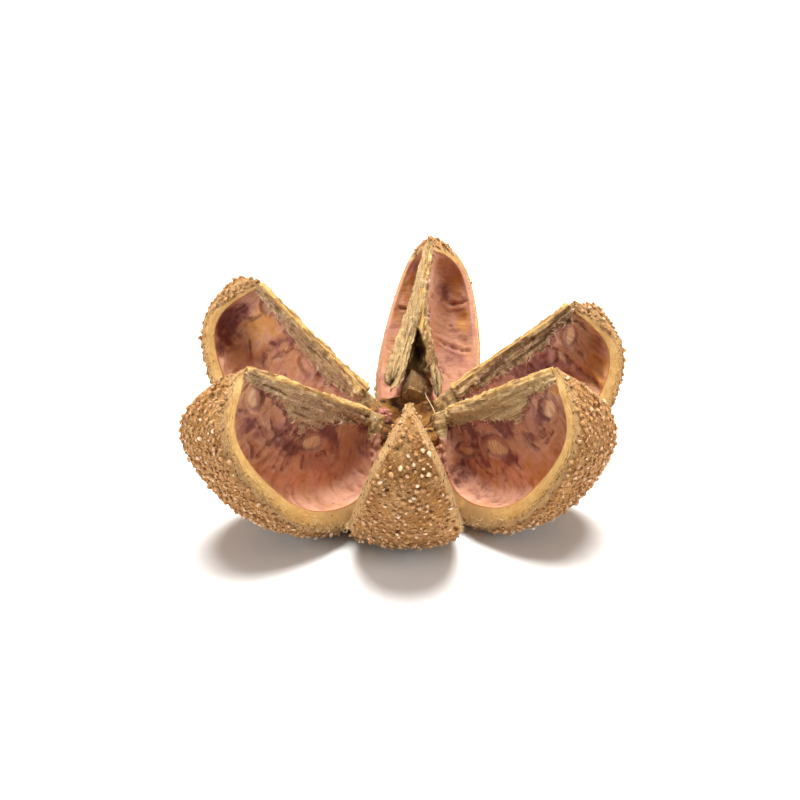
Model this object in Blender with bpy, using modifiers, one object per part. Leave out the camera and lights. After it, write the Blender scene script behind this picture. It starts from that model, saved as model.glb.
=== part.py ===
"""An opened woody seed capsule: six boat-shaped valves, splayed like a star round one base.

Metres, +Z up. The capsule lies on its valves' bellies, with the origin on the surface that
it rests on, under the middle of its box. The front valve points to -Y.
"""

import math
import random

import bmesh
import bpy
from mathutils import Matrix, Vector, geometry

# The closed capsule. Its outline is a polar radius from a centre on its axis, as a sum of
# cosines of the angle from the base, in greatest radii: broad shoulders low, a blunt cone above.
RADIUS = 0.025
OUTLINE = (0.940, 0.067, -0.116, -0.014, -0.061, 0.002, -0.022)

# One valve of it, in its own frame: +X out through its middle, +Z from base to tip.
HALF_ANGLE = math.radians(27.7)
WALL_AT_TIP = 0.0024
WALL_AT_BASE = 0.0050
SEPTUM = 0.0012
BAR_AT_TIP = 0.0014
BAR_AT_BASE = 0.0036
BAR_DEPTH = 0.0017
BAR_START = 0.45
BAR_FULL_ANGLE = math.radians(50)
BAR_FILLET = 1.6
BAR_CREST = 2 / 3
MOST_BAR = 0.3
# Its hollow: share of the way from the inner wall to the axis, and how far the rind's side
# still reaches in there. It opens up away from the base and the tip.
HOLLOW = ((0.0, 0.66), (0.02, 0.36), (0.10, 0.0), (0.34, 0.0), (0.62, 0.0))
CARVE_RATE, CARVE_START = 3.2, 0.55
STATION_ANGLES = [0, 7, 14, 21, 28] + list(range(36, 157, 8)) + [162, 168, 174, 180]

# The warts of the rind: one point in three of an even net stands up.
NET_PITCH = 0.00185
NET_JITTER = 0.16
RIND = 0.00035
WART_LOW, WART_HIGH = 0.0006, 0.0011
SMOOTH_MARGIN = 0.0011

# How each valve has opened. Azimuth is clockwise from the front as seen from above; lean is
# away from the axis; lift is the height of its base; length, width and size are factors.
VALVES = {
    #               azimuth  lean   lift     size   length  width  roll   twist
    "front":       (1.9,     50.0, -0.0036,  0.950, 1.002,  0.967, -2.3,  -0.1),
    "left":        (50.2,    57.0,  0.0003,  1.061, 1.046,  0.994,  2.3,   0.6),
    "back_left":   (119.5,   55.0, -0.0010,  1.009, 1.017,  0.988,  1.8,  -3.2),
    "back":        (182.7,   57.5,  0.0016,  0.976, 1.026,  0.951,  4.9,  -4.3),
    "back_right":  (245.4,   61.1,  0.0005,  0.987, 0.993,  0.999,  2.7,  -3.1),
    "right":       (301.9,   56.6,  0.0003,  0.996, 0.953,  1.038,  1.6,  -3.0),
}
HINGE_RADIUS = 0.0051

# The base that holds the valves, as radius and height down its outside, and the stalk's scar.
BASE_OUTLINE = (
    (0.0000, -0.0022), (0.0030, -0.0019), (0.0056, -0.0012), (0.0078, -0.0012),
    (0.0092, -0.0022), (0.0094, -0.0036), (0.0082, -0.0052), (0.0060, -0.0062),
    (0.0034, -0.0068), (0.0030, -0.0092), (0.0025, -0.0096), (0.0000, -0.0092),
)
BASE_SIDES = 24
GROUND = -0.0164

# The back valve's septum has come apart at its foot into two layers, with a cleft between.
SPLIT_VALVE = "back"
SPLIT_SPREAD = 0.0030
SPLIT_TOP = 0.0200
CLEFT_TOP = 0.0165
CLEFT_FOOT = 0.0020
CLEFT_HALF_WIDTH = 0.0021
CLEFT_DEPTH = 0.0075


def polar_radius(angle):
    return RADIUS * sum(share * math.cos(turn * angle) for turn, share in enumerate(OUTLINE))


def on_outline(angle):
    """Distance from the axis, and height over the base, at an angle from the base."""
    reach = polar_radius(angle)
    return reach * math.sin(angle), polar_radius(0) - reach * math.cos(angle)


def outward(angle):
    """The outline's normal, as its two parts away from the axis and up."""
    step = 1e-4
    r0, z0 = on_outline(angle - step)
    r1, z1 = on_outline(angle + step)
    length = math.hypot(r1 - r0, z1 - z0)
    return (z1 - z0) / length, -(r1 - r0) / length


def mix(a, b, share):
    return a + (b - a) * share


def turned(r, z, azimuth):
    return Vector((r * math.cos(azimuth), r * math.sin(azimuth), z))


def station(angle, spread=0.0):
    """One half of a valve's section: from the rind's edge over the rim, the hollow and the
    septum to the bar along the axis, as points on the side of positive Y. The spread is
    how far the septum's foot has parted from the valve's middle."""
    share = angle / math.pi
    r, z = on_outline(angle)
    out_r, out_z = outward(angle)
    wall = mix(WALL_AT_BASE, WALL_AT_TIP, share)
    inner_r, inner_z = max(r - wall * out_r, 0), z - wall * out_z
    top = on_outline(math.pi)[1] - WALL_AT_TIP
    foot = mix(WALL_AT_BASE, top, (1 - math.cos(angle)) / 2)
    bar = mix(BAR_AT_BASE, BAR_AT_TIP, share) * min(BAR_START + angle / BAR_FULL_ANGLE, 1)
    carved = min(max(math.sin(angle) * CARVE_RATE - CARVE_START, 0), 1)
    parted = spread * carved * min(max(1 - foot / SPLIT_TOP, 0), 1)
    if r < 1e-6:
        inner_r, inner_z = 0, foot
    points = [turned(r, z, HALF_ANGLE), turned(inner_r, inner_z, HALF_ANGLE)]
    for along, deep in HOLLOW:
        distance = inner_r * (1 - along)
        height = mix(inner_z, foot, along)
        solid = turned(distance, height, HALF_ANGLE)
        hollow = turned(distance, height, HALF_ANGLE * deep)
        hollow.y = max(hollow.y, SEPTUM / 2 + parted * along)
        hollow.y = min(hollow.y, solid.y)
        points.append(solid.lerp(hollow, carved))
    sides = (
        (BAR_DEPTH * BAR_FILLET, SEPTUM / 2),
        (BAR_DEPTH, bar / 2),
        (0, bar / 2 * BAR_CREST),
    )
    for distance, half_width in sides:
        near = min(distance, inner_r * MOST_BAR)
        height = mix(inner_z, foot, 1 - near / inner_r) if inner_r > 0 else foot
        points.append(Vector((near, half_width + parted if inner_r > 0 else 0, height)))
    return points


def rind_points(random_draw):
    """An even net of points over the rind between the two rims, each as its distance along
    the outline, its distance across, and how far it stands out."""
    steps = 400
    along, length = [0.0], 0.0
    for index in range(steps):
        a = on_outline(math.pi * index / steps)
        b = on_outline(math.pi * (index + 1) / steps)
        length += math.dist(a, b)
        along.append(length)

    def angle_at(distance):
        low = max(i for i in range(steps + 1) if along[i] <= distance)
        low = min(low, steps - 1)
        part = (distance - along[low]) / (along[low + 1] - along[low])
        return math.pi * (low + part) / steps

    edge = []
    for degrees in STATION_ANGLES:
        angle = math.radians(degrees)
        place = angle / math.pi * steps
        low = min(int(place), steps - 1)
        edge.append((mix(along[low], along[low + 1], place - low), angle))
    net = []
    rows = int(length / (NET_PITCH * math.sqrt(0.75)))
    for row in range(1, rows):
        for column in range(-12, 13):
            jitter = NET_PITCH * NET_JITTER
            x = row * NET_PITCH * math.sqrt(0.75) + random_draw.uniform(-jitter, jitter)
            shift = 0.5 if row % 2 else 0.0
            y = (column + shift) * NET_PITCH + random_draw.uniform(-jitter, jitter)
            stands = (column + (row // 2) + 2 * (row % 2)) % 3 == 0
            height = random_draw.uniform(WART_LOW, WART_HIGH) if stands else 0.0
            if not NET_PITCH < x < length - NET_PITCH:
                continue
            angle = angle_at(x)
            reach = on_outline(angle)[0] * HALF_ANGLE - SMOOTH_MARGIN
            if abs(y) < reach:
                net.append((x, y, angle, RIND + height))
    return edge, net


def add_rind(mesh, random_draw):
    edge, net = rind_points(random_draw)
    flat, solid = [], []
    for x, angle in edge:
        reach = on_outline(angle)[0] * HALF_ANGLE
        flat.append(Vector((x, reach)))
        solid.append(station(angle)[0])
    for x, angle in reversed(edge[1:-1]):
        reach = on_outline(angle)[0] * HALF_ANGLE
        flat.append(Vector((x, -reach)))
        solid.append(station(angle)[0] * Vector((1, -1, 1)))
    border = list(range(len(flat)))
    for x, y, angle, height in net:
        r, z = on_outline(angle)
        out_r, out_z = outward(angle)
        flat.append(Vector((x, y)))
        solid.append(turned(r + height * out_r, z + height * out_z, y / r))
    found = geometry.delaunay_2d_cdt(flat, [], [border], 1, 1e-7)
    vertices = [mesh.verts.new(solid[origins[0]]) for origins in found[3]]
    for face in found[2]:
        mesh.faces.new([vertices[corner] for corner in face])


def valve_mesh(name, random_draw):
    """A valve as a loft: sections from base to tip make the rims, hollows, septum and bar,
    and a warty net closes the rind between the rims."""
    mesh = bmesh.new()
    rings = []
    spread = SPLIT_SPREAD if name == SPLIT_VALVE else 0.0
    for degrees in STATION_ANGLES:
        half = station(math.radians(degrees), spread)
        other = [point * Vector((1, -1, 1)) for point in reversed(half)]
        rings.append([mesh.verts.new(point) for point in half + other])
    for low, high in zip(rings, rings[1:]):
        for index in range(len(low) - 1):
            mesh.faces.new((low[index], low[index + 1], high[index + 1], high[index]))
    add_rind(mesh, random_draw)
    bmesh.ops.remove_doubles(mesh, verts=mesh.verts, dist=1e-6)
    bmesh.ops.dissolve_degenerate(mesh, edges=mesh.edges, dist=1e-6)
    bmesh.ops.triangulate(mesh, faces=mesh.faces)
    bmesh.ops.recalc_face_normals(mesh, faces=mesh.faces)
    result = bpy.data.meshes.new(name)
    mesh.to_mesh(result)
    mesh.free()
    return result


def opened(azimuth, lean, lift, size, length, width, roll, twist):
    """The matrix that carries a valve from its own frame to where it has opened to."""
    stretch = Matrix.Diagonal((size * width, size * width, size * length, 1))
    turn = (
        Matrix.Rotation(math.radians(lean), 4, "Y")
        @ Matrix.Rotation(math.radians(roll), 4, "X")
        @ Matrix.Rotation(math.radians(twist), 4, "Z")
    )
    hinge = Matrix.Translation((HINGE_RADIUS, 0, lift))
    return Matrix.Rotation(math.radians(-90 - azimuth), 4, "Z") @ hinge @ turn @ stretch


def applied(thing):
    """Replaces an object's mesh by its evaluated one, and drops its modifiers."""
    graph = bpy.context.evaluated_depsgraph_get()
    done = bpy.data.meshes.new_from_object(thing.evaluated_get(graph))
    thing.modifiers.clear()
    thing.data = done


def cut_cleft(valve, collection):
    """Cuts a wedge, open towards the axis and at the foot, between the septum's layers."""
    bpy.ops.mesh.primitive_cylinder_add(vertices=3, radius=1, depth=1)
    wedge = bpy.context.object
    wedge.name = "cleft"
    wedge.hide_render = True
    wedge.display_type = "WIRE"
    for other in list(wedge.users_collection):
        other.objects.unlink(wedge)
    collection.objects.link(wedge)
    # The prism is laid along X with one edge up; then it takes the cleft's size.
    wedge.data.transform(Matrix.Rotation(math.radians(90), 4, "Y"))
    wedge.data.transform(Matrix.Rotation(math.radians(90), 4, "X"))
    low = min(vertex.co.z for vertex in wedge.data.vertices)
    high = max(vertex.co.z for vertex in wedge.data.vertices)
    wide = max(vertex.co.y for vertex in wedge.data.vertices)
    tall = (CLEFT_TOP - CLEFT_FOOT) / (high - low)
    size = Matrix.Diagonal((2 * CLEFT_DEPTH, CLEFT_HALF_WIDTH / wide, tall, 1))
    wedge.data.transform(Matrix.Translation((0, 0, CLEFT_FOOT - low * tall)) @ size)
    cut = valve.modifiers.new("cleft", "BOOLEAN")
    cut.operation = "DIFFERENCE"
    cut.object = wedge
    applied(valve)
    bpy.data.objects.remove(wedge)


def make_base(collection):
    outline = bmesh.new()
    points = [outline.verts.new((r, 0, z)) for r, z in BASE_OUTLINE]
    for a, b in zip(points, points[1:]):
        outline.edges.new((a, b))
    data = bpy.data.meshes.new("capsule")
    outline.to_mesh(data)
    outline.free()
    base = bpy.data.objects.new("capsule", data)
    collection.objects.link(base)
    screw = base.modifiers.new("turn", "SCREW")
    screw.steps = screw.render_steps = BASE_SIDES
    screw.use_merge_vertices = True
    screw.merge_threshold = 0.0001
    applied(base)
    return base


def rind_material():
    material = bpy.data.materials.new("woody_rind")
    material.use_nodes = True
    shader = material.node_tree.nodes["Principled BSDF"]
    shader.inputs["Base Color"].default_value = (0.43, 0.24, 0.11, 1)
    shader.inputs["Roughness"].default_value = 0.85
    shader.inputs["Metallic"].default_value = 0.0
    return material


def drop_scraps(mesh):
    """Keeps the largest of a mesh's shells, so no void stays sealed where valves meet."""
    shells, seen = [], set()
    for start in mesh.faces:
        if start in seen:
            continue
        shell, queue = [], [start]
        seen.add(start)
        while queue:
            face = queue.pop()
            shell.append(face)
            for edge in face.edges:
                for other in edge.link_faces:
                    if other not in seen:
                        seen.add(other)
                        queue.append(other)
        shells.append(shell)
    shells.sort(key=len)
    for shell in shells[:-1]:
        bmesh.ops.delete(mesh, geom=shell, context="FACES")


def main():
    for thing in list(bpy.data.objects):
        bpy.data.objects.remove(thing)
    parts = bpy.data.collections.new("seed_capsule")
    cutters = bpy.data.collections.new("cutters")
    for collection in (parts, cutters):
        bpy.context.scene.collection.children.link(collection)

    capsule = make_base(parts)
    random_draw = random.Random(7)
    for name, opening in VALVES.items():
        valve = bpy.data.objects.new(name, valve_mesh(name, random_draw))
        valve.hide_render = True
        valve.display_type = "WIRE"
        cutters.objects.link(valve)
        if name == SPLIT_VALVE:
            cut_cleft(valve, cutters)
        valve.data.transform(opened(*opening))
    join = capsule.modifiers.new("join_valves", "BOOLEAN")
    join.operation = "UNION"
    join.operand_type = "COLLECTION"
    join.collection = cutters
    applied(capsule)
    for valve in list(cutters.objects):
        bpy.data.objects.remove(valve)

    bpy.ops.mesh.primitive_cube_add(size=0.2, location=(0, 0, GROUND - 0.1))
    ground = bpy.context.object
    ground.name = "ground"
    ground.hide_render = True
    ground.display_type = "WIRE"
    for collection in list(ground.users_collection):
        collection.objects.unlink(ground)
    cutters.objects.link(ground)
    flat = capsule.modifiers.new("rest_flat", "BOOLEAN")
    flat.operation = "DIFFERENCE"
    flat.object = ground
    applied(capsule)
    bpy.data.objects.remove(ground)

    mesh = bmesh.new()
    mesh.from_mesh(capsule.data)
    drop_scraps(mesh)
    low = [min(vertex.co[axis] for vertex in mesh.verts) for axis in range(3)]
    high = [max(vertex.co[axis] for vertex in mesh.verts) for axis in range(3)]
    middle = Vector(((low[0] + high[0]) / 2, (low[1] + high[1]) / 2, low[2]))
    bmesh.ops.translate(mesh, verts=mesh.verts, vec=-middle)
    mesh.to_mesh(capsule.data)
    mesh.free()
    capsule.data.materials.clear()
    capsule.data.materials.append(rind_material())
    capsule.data.shade_smooth()
    capsule.data.set_sharp_from_angle(angle=math.radians(50))


main()
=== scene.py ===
import math
import random

import bmesh
import bpy
import numpy as np
from mathutils import Matrix, Vector, noise


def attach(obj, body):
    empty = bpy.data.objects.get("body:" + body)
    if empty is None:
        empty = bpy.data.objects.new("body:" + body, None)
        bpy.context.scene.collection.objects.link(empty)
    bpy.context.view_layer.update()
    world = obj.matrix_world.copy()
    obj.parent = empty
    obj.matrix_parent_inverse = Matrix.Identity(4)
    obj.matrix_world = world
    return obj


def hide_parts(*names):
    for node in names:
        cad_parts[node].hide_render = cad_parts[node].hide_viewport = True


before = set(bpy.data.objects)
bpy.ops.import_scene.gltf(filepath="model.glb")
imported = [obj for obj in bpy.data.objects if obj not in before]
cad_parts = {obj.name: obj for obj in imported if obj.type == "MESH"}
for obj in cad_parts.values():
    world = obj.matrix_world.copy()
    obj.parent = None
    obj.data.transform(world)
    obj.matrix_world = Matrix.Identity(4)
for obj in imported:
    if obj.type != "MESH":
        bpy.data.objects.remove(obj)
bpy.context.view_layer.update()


# The studio: a white table, a wide soft light overhead and a little behind, and the camera
# looking down at the front valve from 28 degrees above the table.
CAMERA_TARGET = Vector((-0.0020445, -0.0013919, 0.018595))
CAMERA_DISTANCE = 0.4742
CAMERA_DOWN = math.radians(28)
CAMERA_LENS = 108.4
TABLE_SIZE = 6.0
TABLE_WHITE = (0.92, 0.92, 0.92, 1)
SOFT_LIGHTS = {
    # name          place                size   watts  colour
    "overhead":    ((0.00, 0.16, 0.75),  0.62,  15.4,  (1.00, 0.98, 0.95)),
    "left_box":    ((-0.72, -0.12, 0.20), 0.40, 3.6,   (1.00, 0.99, 0.97)),
    "right_box":   ((0.72, -0.12, 0.20), 0.40,  3.4,   (1.00, 0.99, 0.97)),
}
ROOM_LIGHT = 0.10

scene = bpy.context.scene
scene.view_settings.view_transform = "Standard"

camera = bpy.data.objects.new("camera", bpy.data.cameras.new("camera"))
scene.collection.objects.link(camera)
camera.data.lens = CAMERA_LENS
camera.data.clip_start = 0.01
away = Vector((0, -math.cos(CAMERA_DOWN), math.sin(CAMERA_DOWN)))
camera.location = CAMERA_TARGET + away * CAMERA_DISTANCE
camera.rotation_euler = (math.pi / 2 - CAMERA_DOWN, 0, 0)
scene.camera = camera

for name, (place, size, watts, colour) in SOFT_LIGHTS.items():
    light = bpy.data.lights.new(name, "AREA")
    light.shape = "DISK"
    light.size = size
    light.energy = watts
    light.color = colour
    lamp = bpy.data.objects.new(name, light)
    lamp.location = place
    lamp.rotation_euler = (-Vector(place)).to_track_quat("-Z", "Y").to_euler()
    scene.collection.objects.link(lamp)

world = bpy.data.worlds.new("room")
world.use_nodes = True
world.node_tree.nodes["Background"].inputs["Color"].default_value = (1, 1, 1, 1)
world.node_tree.nodes["Background"].inputs["Strength"].default_value = ROOM_LIGHT
scene.world = world

table_mesh = bmesh.new()
bmesh.ops.create_grid(table_mesh, x_segments=1, y_segments=1, size=TABLE_SIZE / 2)
table_data = bpy.data.meshes.new("table")
table_mesh.to_mesh(table_data)
table_mesh.free()
table = bpy.data.objects.new("table", table_data)
scene.collection.objects.link(table)
white = bpy.data.materials.new("table_white")
white.use_nodes = True
white.node_tree.nodes["Principled BSDF"].inputs["Base Color"].default_value = TABLE_WHITE
white.node_tree.nodes["Principled BSDF"].inputs["Roughness"].default_value = 0.9
table_data.materials.append(white)


# The six valves: each is one sixth of a woody capsule, split down its seams, with a corky rind
# outside, a pale cut wall at its rims, two hollows lined with thin pink tissue, a thin wall
# between them and a fibrous bar on the capsule's axis. All six hang on the base by their feet.
MM = 0.001
CAPSULE_RADIUS = 0.025
# The outline, as the shares of a cosine series by the angle from the base.
CAPSULE_OUTLINE = (0.940, 0.067, -0.116, -0.014, -0.061, 0.002, -0.022)
HALF_ANGLE = math.radians(27.7)
WALL_AT_TIP, WALL_AT_BASE = 0.0024, 0.0050
SEPTUM = 0.0012
BAR_AT_TIP, BAR_AT_BASE = 0.0014, 0.0036
BAR_DEPTH = 0.0017
BAR_FULL_ANGLE = math.radians(50)
# Five places on a hollow's wall: how far in to the axis, and how far out, as a share of the
# valve's half angle. The hollow narrows to nothing at the valve's two ends.
HOLLOW = ((0.0, 0.66), (0.02, 0.36), (0.10, 0.0), (0.34, 0.0), (0.62, 0.0))
HOLLOW_SLOPE, HOLLOW_START = 3.2, 0.55
# The back valve's septum has split: how far its halves stand apart, up to what height, and
# the cleft between them.
SPLIT_VALVE = "back"
SPLIT_SPREAD, SPLIT_TOP = 0.0030, 0.0200
CLEFT_FOOT, CLEFT_TOP = 0.0020, 0.0165
CLEFT_HALF_WIDTH, CLEFT_DEPTH = 0.0021, 0.0075
SPLIT_LEAN = 1.9 * MM
HINGE_RADIUS = 0.0051
FROM_BASE = Vector((-0.00061752, -0.00139187, 0.0164))
VALVES = {
    #               azimuth  lean   lift     size   length  width  roll   twist
    "front":       (1.9,     50.0, -0.0036,  0.950, 1.002,  0.967, -2.3,  -0.1),
    "left":        (50.2,    57.0,  0.0003,  1.061, 1.046,  0.994,  2.3,   0.6),
    "back_left":   (119.5,   55.0, -0.0010,  1.009, 1.017,  0.988,  1.8,  -3.2),
    "back":        (182.7,   57.5,  0.0016,  0.976, 1.026,  0.951,  4.9,  -4.3),
    "back_right":  (245.4,   61.1,  0.0005,  0.987, 0.993,  0.999,  2.7,  -3.1),
    "right":       (301.9,   56.6,  0.0003,  0.996, 0.953,  1.038,  1.6,  -3.0),
}
STATIONS = 236
RIND_STEPS = 88
RIND_POINTS = RIND_STEPS - 1
# How many steps each stretch of half a section is cut into: the rim, four of the hollow's
# wall and septum, one up to the bar, and the bar's faces.
HALF_STEPS = (15, 12, 11, 12, 16, 18, 16, 6, 7)
HALF_POINTS = sum(HALF_STEPS) + 1
RIM_END = HALF_STEPS[0]
BAR_START = sum(HALF_STEPS[:6]) + 8
BAR_POINTS = sum(HALF_STEPS[-2:]) + 1
CREST_STEPS, CLEFT_STEPS = 6, 22
# How freely the points just inside the rim move when a section's corners are rounded, how
# freely the bar's do, and in how many rounds.
RIM_EASING, BAR_EASING, ROUNDS = (0.15, 0.4, 0.7, 0.9), 0.25, 40
BEVEL_DEPTH, BEVEL_WIDTH = 0.55, 1.4
# How each valve has worn and dried, in mm where it is a length: how much of its tip is worn
# away, and by what share its bar has shrunk.
TIP_TRIM = {"front": 0.4, "left": 1.7, "back_left": 0.7, "back": 0.0, "back_right": 0.5, "right": 0.7}
PINCH = {"front": 0.3, "left": 0.5, "back_left": 0.5, "back": 0.55, "back_right": 0.45, "right": 0.3}
# The rind at the tips of these valves is thicker, and its warts reach this far over the bevel.
TIP_WARTS = {"back_left": 1.2, "back": 1.3, "back_right": 1.1, "front": 0.6}
# How much of the rim's width the grit covers there, and where more than usual.
TIP_COVER, WIDE_TIP_COVER = 0.6, {("back", 1): 1.2}
# How much of the rim's width is cut wall, and where the lining starts sooner.
CUT_WALL, NARROW_CUT_WALL = 1.2, {"back": 0.38}
# The front valve's edges are rubbed bare: by how much wider its bevel is, how far the warts
# keep from its edge, and what share of them is left.
WIDER_BEVEL, WART_MARGIN, WARTS_LEFT = {"front": 0.6}, {"front": 0.75}, {"front": 0.70}
# How many steps past its start a bar is fibrous, and where it starts later.
BAR_FIBRES, LATE_BAR_FIBRES = 4, {("back", -1): 13}
# How much of the web on each valve is grey-brown remains instead of clean straw.
GREY_WEB = {"left": 1.0, "back_left": 1.0, "back_right": 1.0, "right": 0.1, "back": 0.2}
# How much painted shade darkens a bar and its web beyond the others', or below 0 how much lighter
# they are, how much darker the lower part of a lining is than the rest, and how flat and how clean a
# lining is.
BAR_SHADE = {"back_right": 0.55, "right": -0.25}
DARKER_LOW_LINING = {"left": 0.10, "right": 0.25, "back": 0.20}
FLATTER_LINING, CLEANER_LINING = {"back": 0.45}, {"back": 9.0}
# How much painted shade the split valve's torn wall gets low down, on its right half and inside its
# cleft.
TORN_SHADE, RIGHT_HALF_SHADE, CLEFT_SHADE = 0.65, 0.35, 0.75
# The four finishes of a valve, by their place in its list of materials.
RIND, CUT, LINING, BAR = range(4)
# What each point of a valve stores for its finishes and for what grows on it.
STORED = ("relief", "edge", "pale", "crease", "stain_and_shade", "bar", "warty", "frayed", "fringe")


def smooth(low, high, value):
    share = np.clip((value - low) / (high - low), 0, 1)
    return share * share * (3 - 2 * share)


def mix(a, b, share):
    return a + (b - a) * share


def stacked(*parts):
    """Grids of X, Y and Z, or what can be spread over one, as one grid of points."""
    return np.dstack(np.broadcast_arrays(*parts))


def polar_radius(angle):
    return CAPSULE_RADIUS * sum(
        share * math.cos(turn * angle) for turn, share in enumerate(CAPSULE_OUTLINE)
    )


def on_outline(angle):
    reach = polar_radius(angle)
    return reach * math.sin(angle), polar_radius(0) - reach * math.cos(angle)


def outward(angle):
    step = 1e-4
    r0, z0 = on_outline(angle - step)
    r1, z1 = on_outline(angle + step)
    length = math.hypot(r1 - r0, z1 - z0)
    return (z1 - z0) / length, -(r1 - r0) / length


def turned(r, z, azimuth):
    return Vector((r * math.cos(azimuth), r * math.sin(azimuth), z))


def septum_height(angle):
    """How high the hollow's floor meets the axis in the section at an angle."""
    top = on_outline(math.pi)[1] - WALL_AT_TIP
    return mix(WALL_AT_BASE, top, (1 - math.cos(angle)) / 2)


def half_section(angle, spread):
    """The rim, hollow, septum and bar on one side of a valve, as ten points."""
    share = angle / math.pi
    r, z = on_outline(angle)
    out_r, out_z = outward(angle)
    wall = mix(WALL_AT_BASE, WALL_AT_TIP, share)
    inner_r, inner_z = max(r - wall * out_r, 0), z - wall * out_z
    foot = septum_height(angle)
    bar = mix(BAR_AT_BASE, BAR_AT_TIP, share) * min(0.45 + angle / BAR_FULL_ANGLE, 1)
    carved = min(max(math.sin(angle) * HOLLOW_SLOPE - HOLLOW_START, 0), 1)
    parted = spread * carved * min(max(1 - foot / SPLIT_TOP, 0), 1)
    if r < 1e-6:
        inner_r, inner_z = 0, foot
    points = [turned(r, z, HALF_ANGLE), turned(inner_r, inner_z, HALF_ANGLE)]
    for along, deep in HOLLOW:
        distance = inner_r * (1 - along)
        height = mix(inner_z, foot, along)
        solid = turned(distance, height, HALF_ANGLE)
        hollow = turned(distance, height, HALF_ANGLE * deep)
        hollow.y = min(max(hollow.y, SEPTUM / 2 + parted * along), solid.y)
        points.append(solid.lerp(hollow, carved))
    sides = ((BAR_DEPTH * 1.6, SEPTUM / 2), (BAR_DEPTH, bar / 2), (0, bar / 3))
    for distance, half_width in sides:
        near = min(distance, inner_r * 0.3)
        height = mix(inner_z, foot, 1 - near / inner_r) if inner_r > 0 else foot
        points.append(Vector((near, half_width + parted if inner_r > 0 else 0, height)))
    return points


def even_angles(count):
    """Angles at even lengths along the outline from base to tip, and those lengths."""
    fine = np.linspace(0, math.pi, 2001)
    r, z = np.array([on_outline(angle) for angle in fine]).T
    run = np.concatenate([[0], np.cumsum(np.hypot(np.diff(r), np.diff(z)))])
    lengths = np.linspace(0, run[-1], count)
    return np.interp(lengths, run, fine), lengths


def crest(left, right, foot_height, split):
    """The points across the bar's top edge, or down into the split valve's cleft and out."""
    if not split:
        return [left.lerp(right, step / CREST_STEPS) for step in range(1, CREST_STEPS)]
    part = (foot_height - CLEFT_FOOT) / (CLEFT_TOP - CLEFT_FOOT)
    open_there = min(max(1 - part, 0), 1) * min(max(part * 8, 0), 1)
    mouth = CLEFT_HALF_WIDTH * open_there ** 0.7
    depth = CLEFT_DEPTH * min(open_there * 3, 1)
    run = []
    for step in range(1, CLEFT_STEPS):
        share = 1 - abs(2 * step / CLEFT_STEPS - 1)
        side = 1 if step < CLEFT_STEPS / 2 else -1
        lip = min(share * 4, 1)
        inner = max(share * 4 - 1, 0) / 3
        if open_there > 0:
            y = side * mix(left.y, mouth, lip) * (1 - inner ** 3)
        else:
            y = side * left.y * (1 - share)
        run.append(Vector((left.x + depth * inner, y, left.z)))
    return run


def valve_grid(name):
    """A valve's sections from base to tip, as a grid of points in the valve's own frame. Each
    runs over the rind from -Y to +Y, in to the bar, over its crest and back out to -Y."""
    split = name == SPLIT_VALVE
    angles, lengths = even_angles(STATIONS)
    halves = []
    for angle in angles:
        points = half_section(angle, SPLIT_SPREAD if split else 0.0)
        row = []
        for (a, b), steps in zip(zip(points, points[1:]), HALF_STEPS):
            row += [a.lerp(b, step / steps) for step in range(steps)]
        halves.append(row + [points[-1]])
    half = np.array([[tuple(point) for point in row] for row in halves])
    eased = RIM_END + 1 + len(RIM_EASING)
    free = np.zeros(half.shape[1])
    free[RIM_END + 1:eased] = RIM_EASING
    free[eased:-BAR_POINTS] = 1
    free[-BAR_POINTS:-1] = BAR_EASING
    for _ in range(ROUNDS):
        middle = (half[:, :-2] + half[:, 2:]) / 2
        half[:, 1:-1] += (middle - half[:, 1:-1]) * 0.5 * free[1:-1, None]
    mirrored = half * (1, -1, 1)
    rows = []
    for index, angle in enumerate(angles):
        r, z = on_outline(angle)
        rind = [
            turned(r, z, HALF_ANGLE * (2 * step / RIND_STEPS - 1))
            for step in range(1, RIND_STEPS)
        ]
        left, right = Vector(half[index, -1]), Vector(mirrored[index, -1])
        across = crest(left, right, septum_height(angle), split)
        rows.append(
            [tuple(point) for point in rind]
            + half[index].tolist()
            + [tuple(point) for point in across]
            + mirrored[index, ::-1].tolist()
        )
    grid = np.array(rows)
    # The tip is blunt: its last few millimetres are rounded off.
    reach = np.array([on_outline(angle)[0] for angle in angles]) / MM
    trim = TIP_TRIM[name] * MM * smooth(3.2, 0.1, reach) * (angles > math.pi / 2)
    grid[:, :, 2] -= trim[:, None]
    # The bar dries thinner than the axis it came from, most of all towards the tip.
    x, y, z = (grid[:, :, axis] / MM for axis in range(3))
    rise = smooth(12.0, 30.0, z) if split else smooth(4.0, 14.0, z)
    slim = PINCH[name] * smooth(4.5, 1.5, x) * smooth(3.0, 2.0, np.abs(y)) * rise
    grid[:, :, 1] *= 1 - slim
    if split:
        # The split wall's right half dried leaning away from the torn bar.
        leaning = smooth(19.0, 4.0, z) * smooth(9.0, 3.5, x)
        leaning = leaning * smooth(0.2, -1.0, y) * smooth(-6.0, -3.5, y)
        grid[:, :, 1] -= SPLIT_LEAN * leaning
    return grid, angles, lengths


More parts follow.
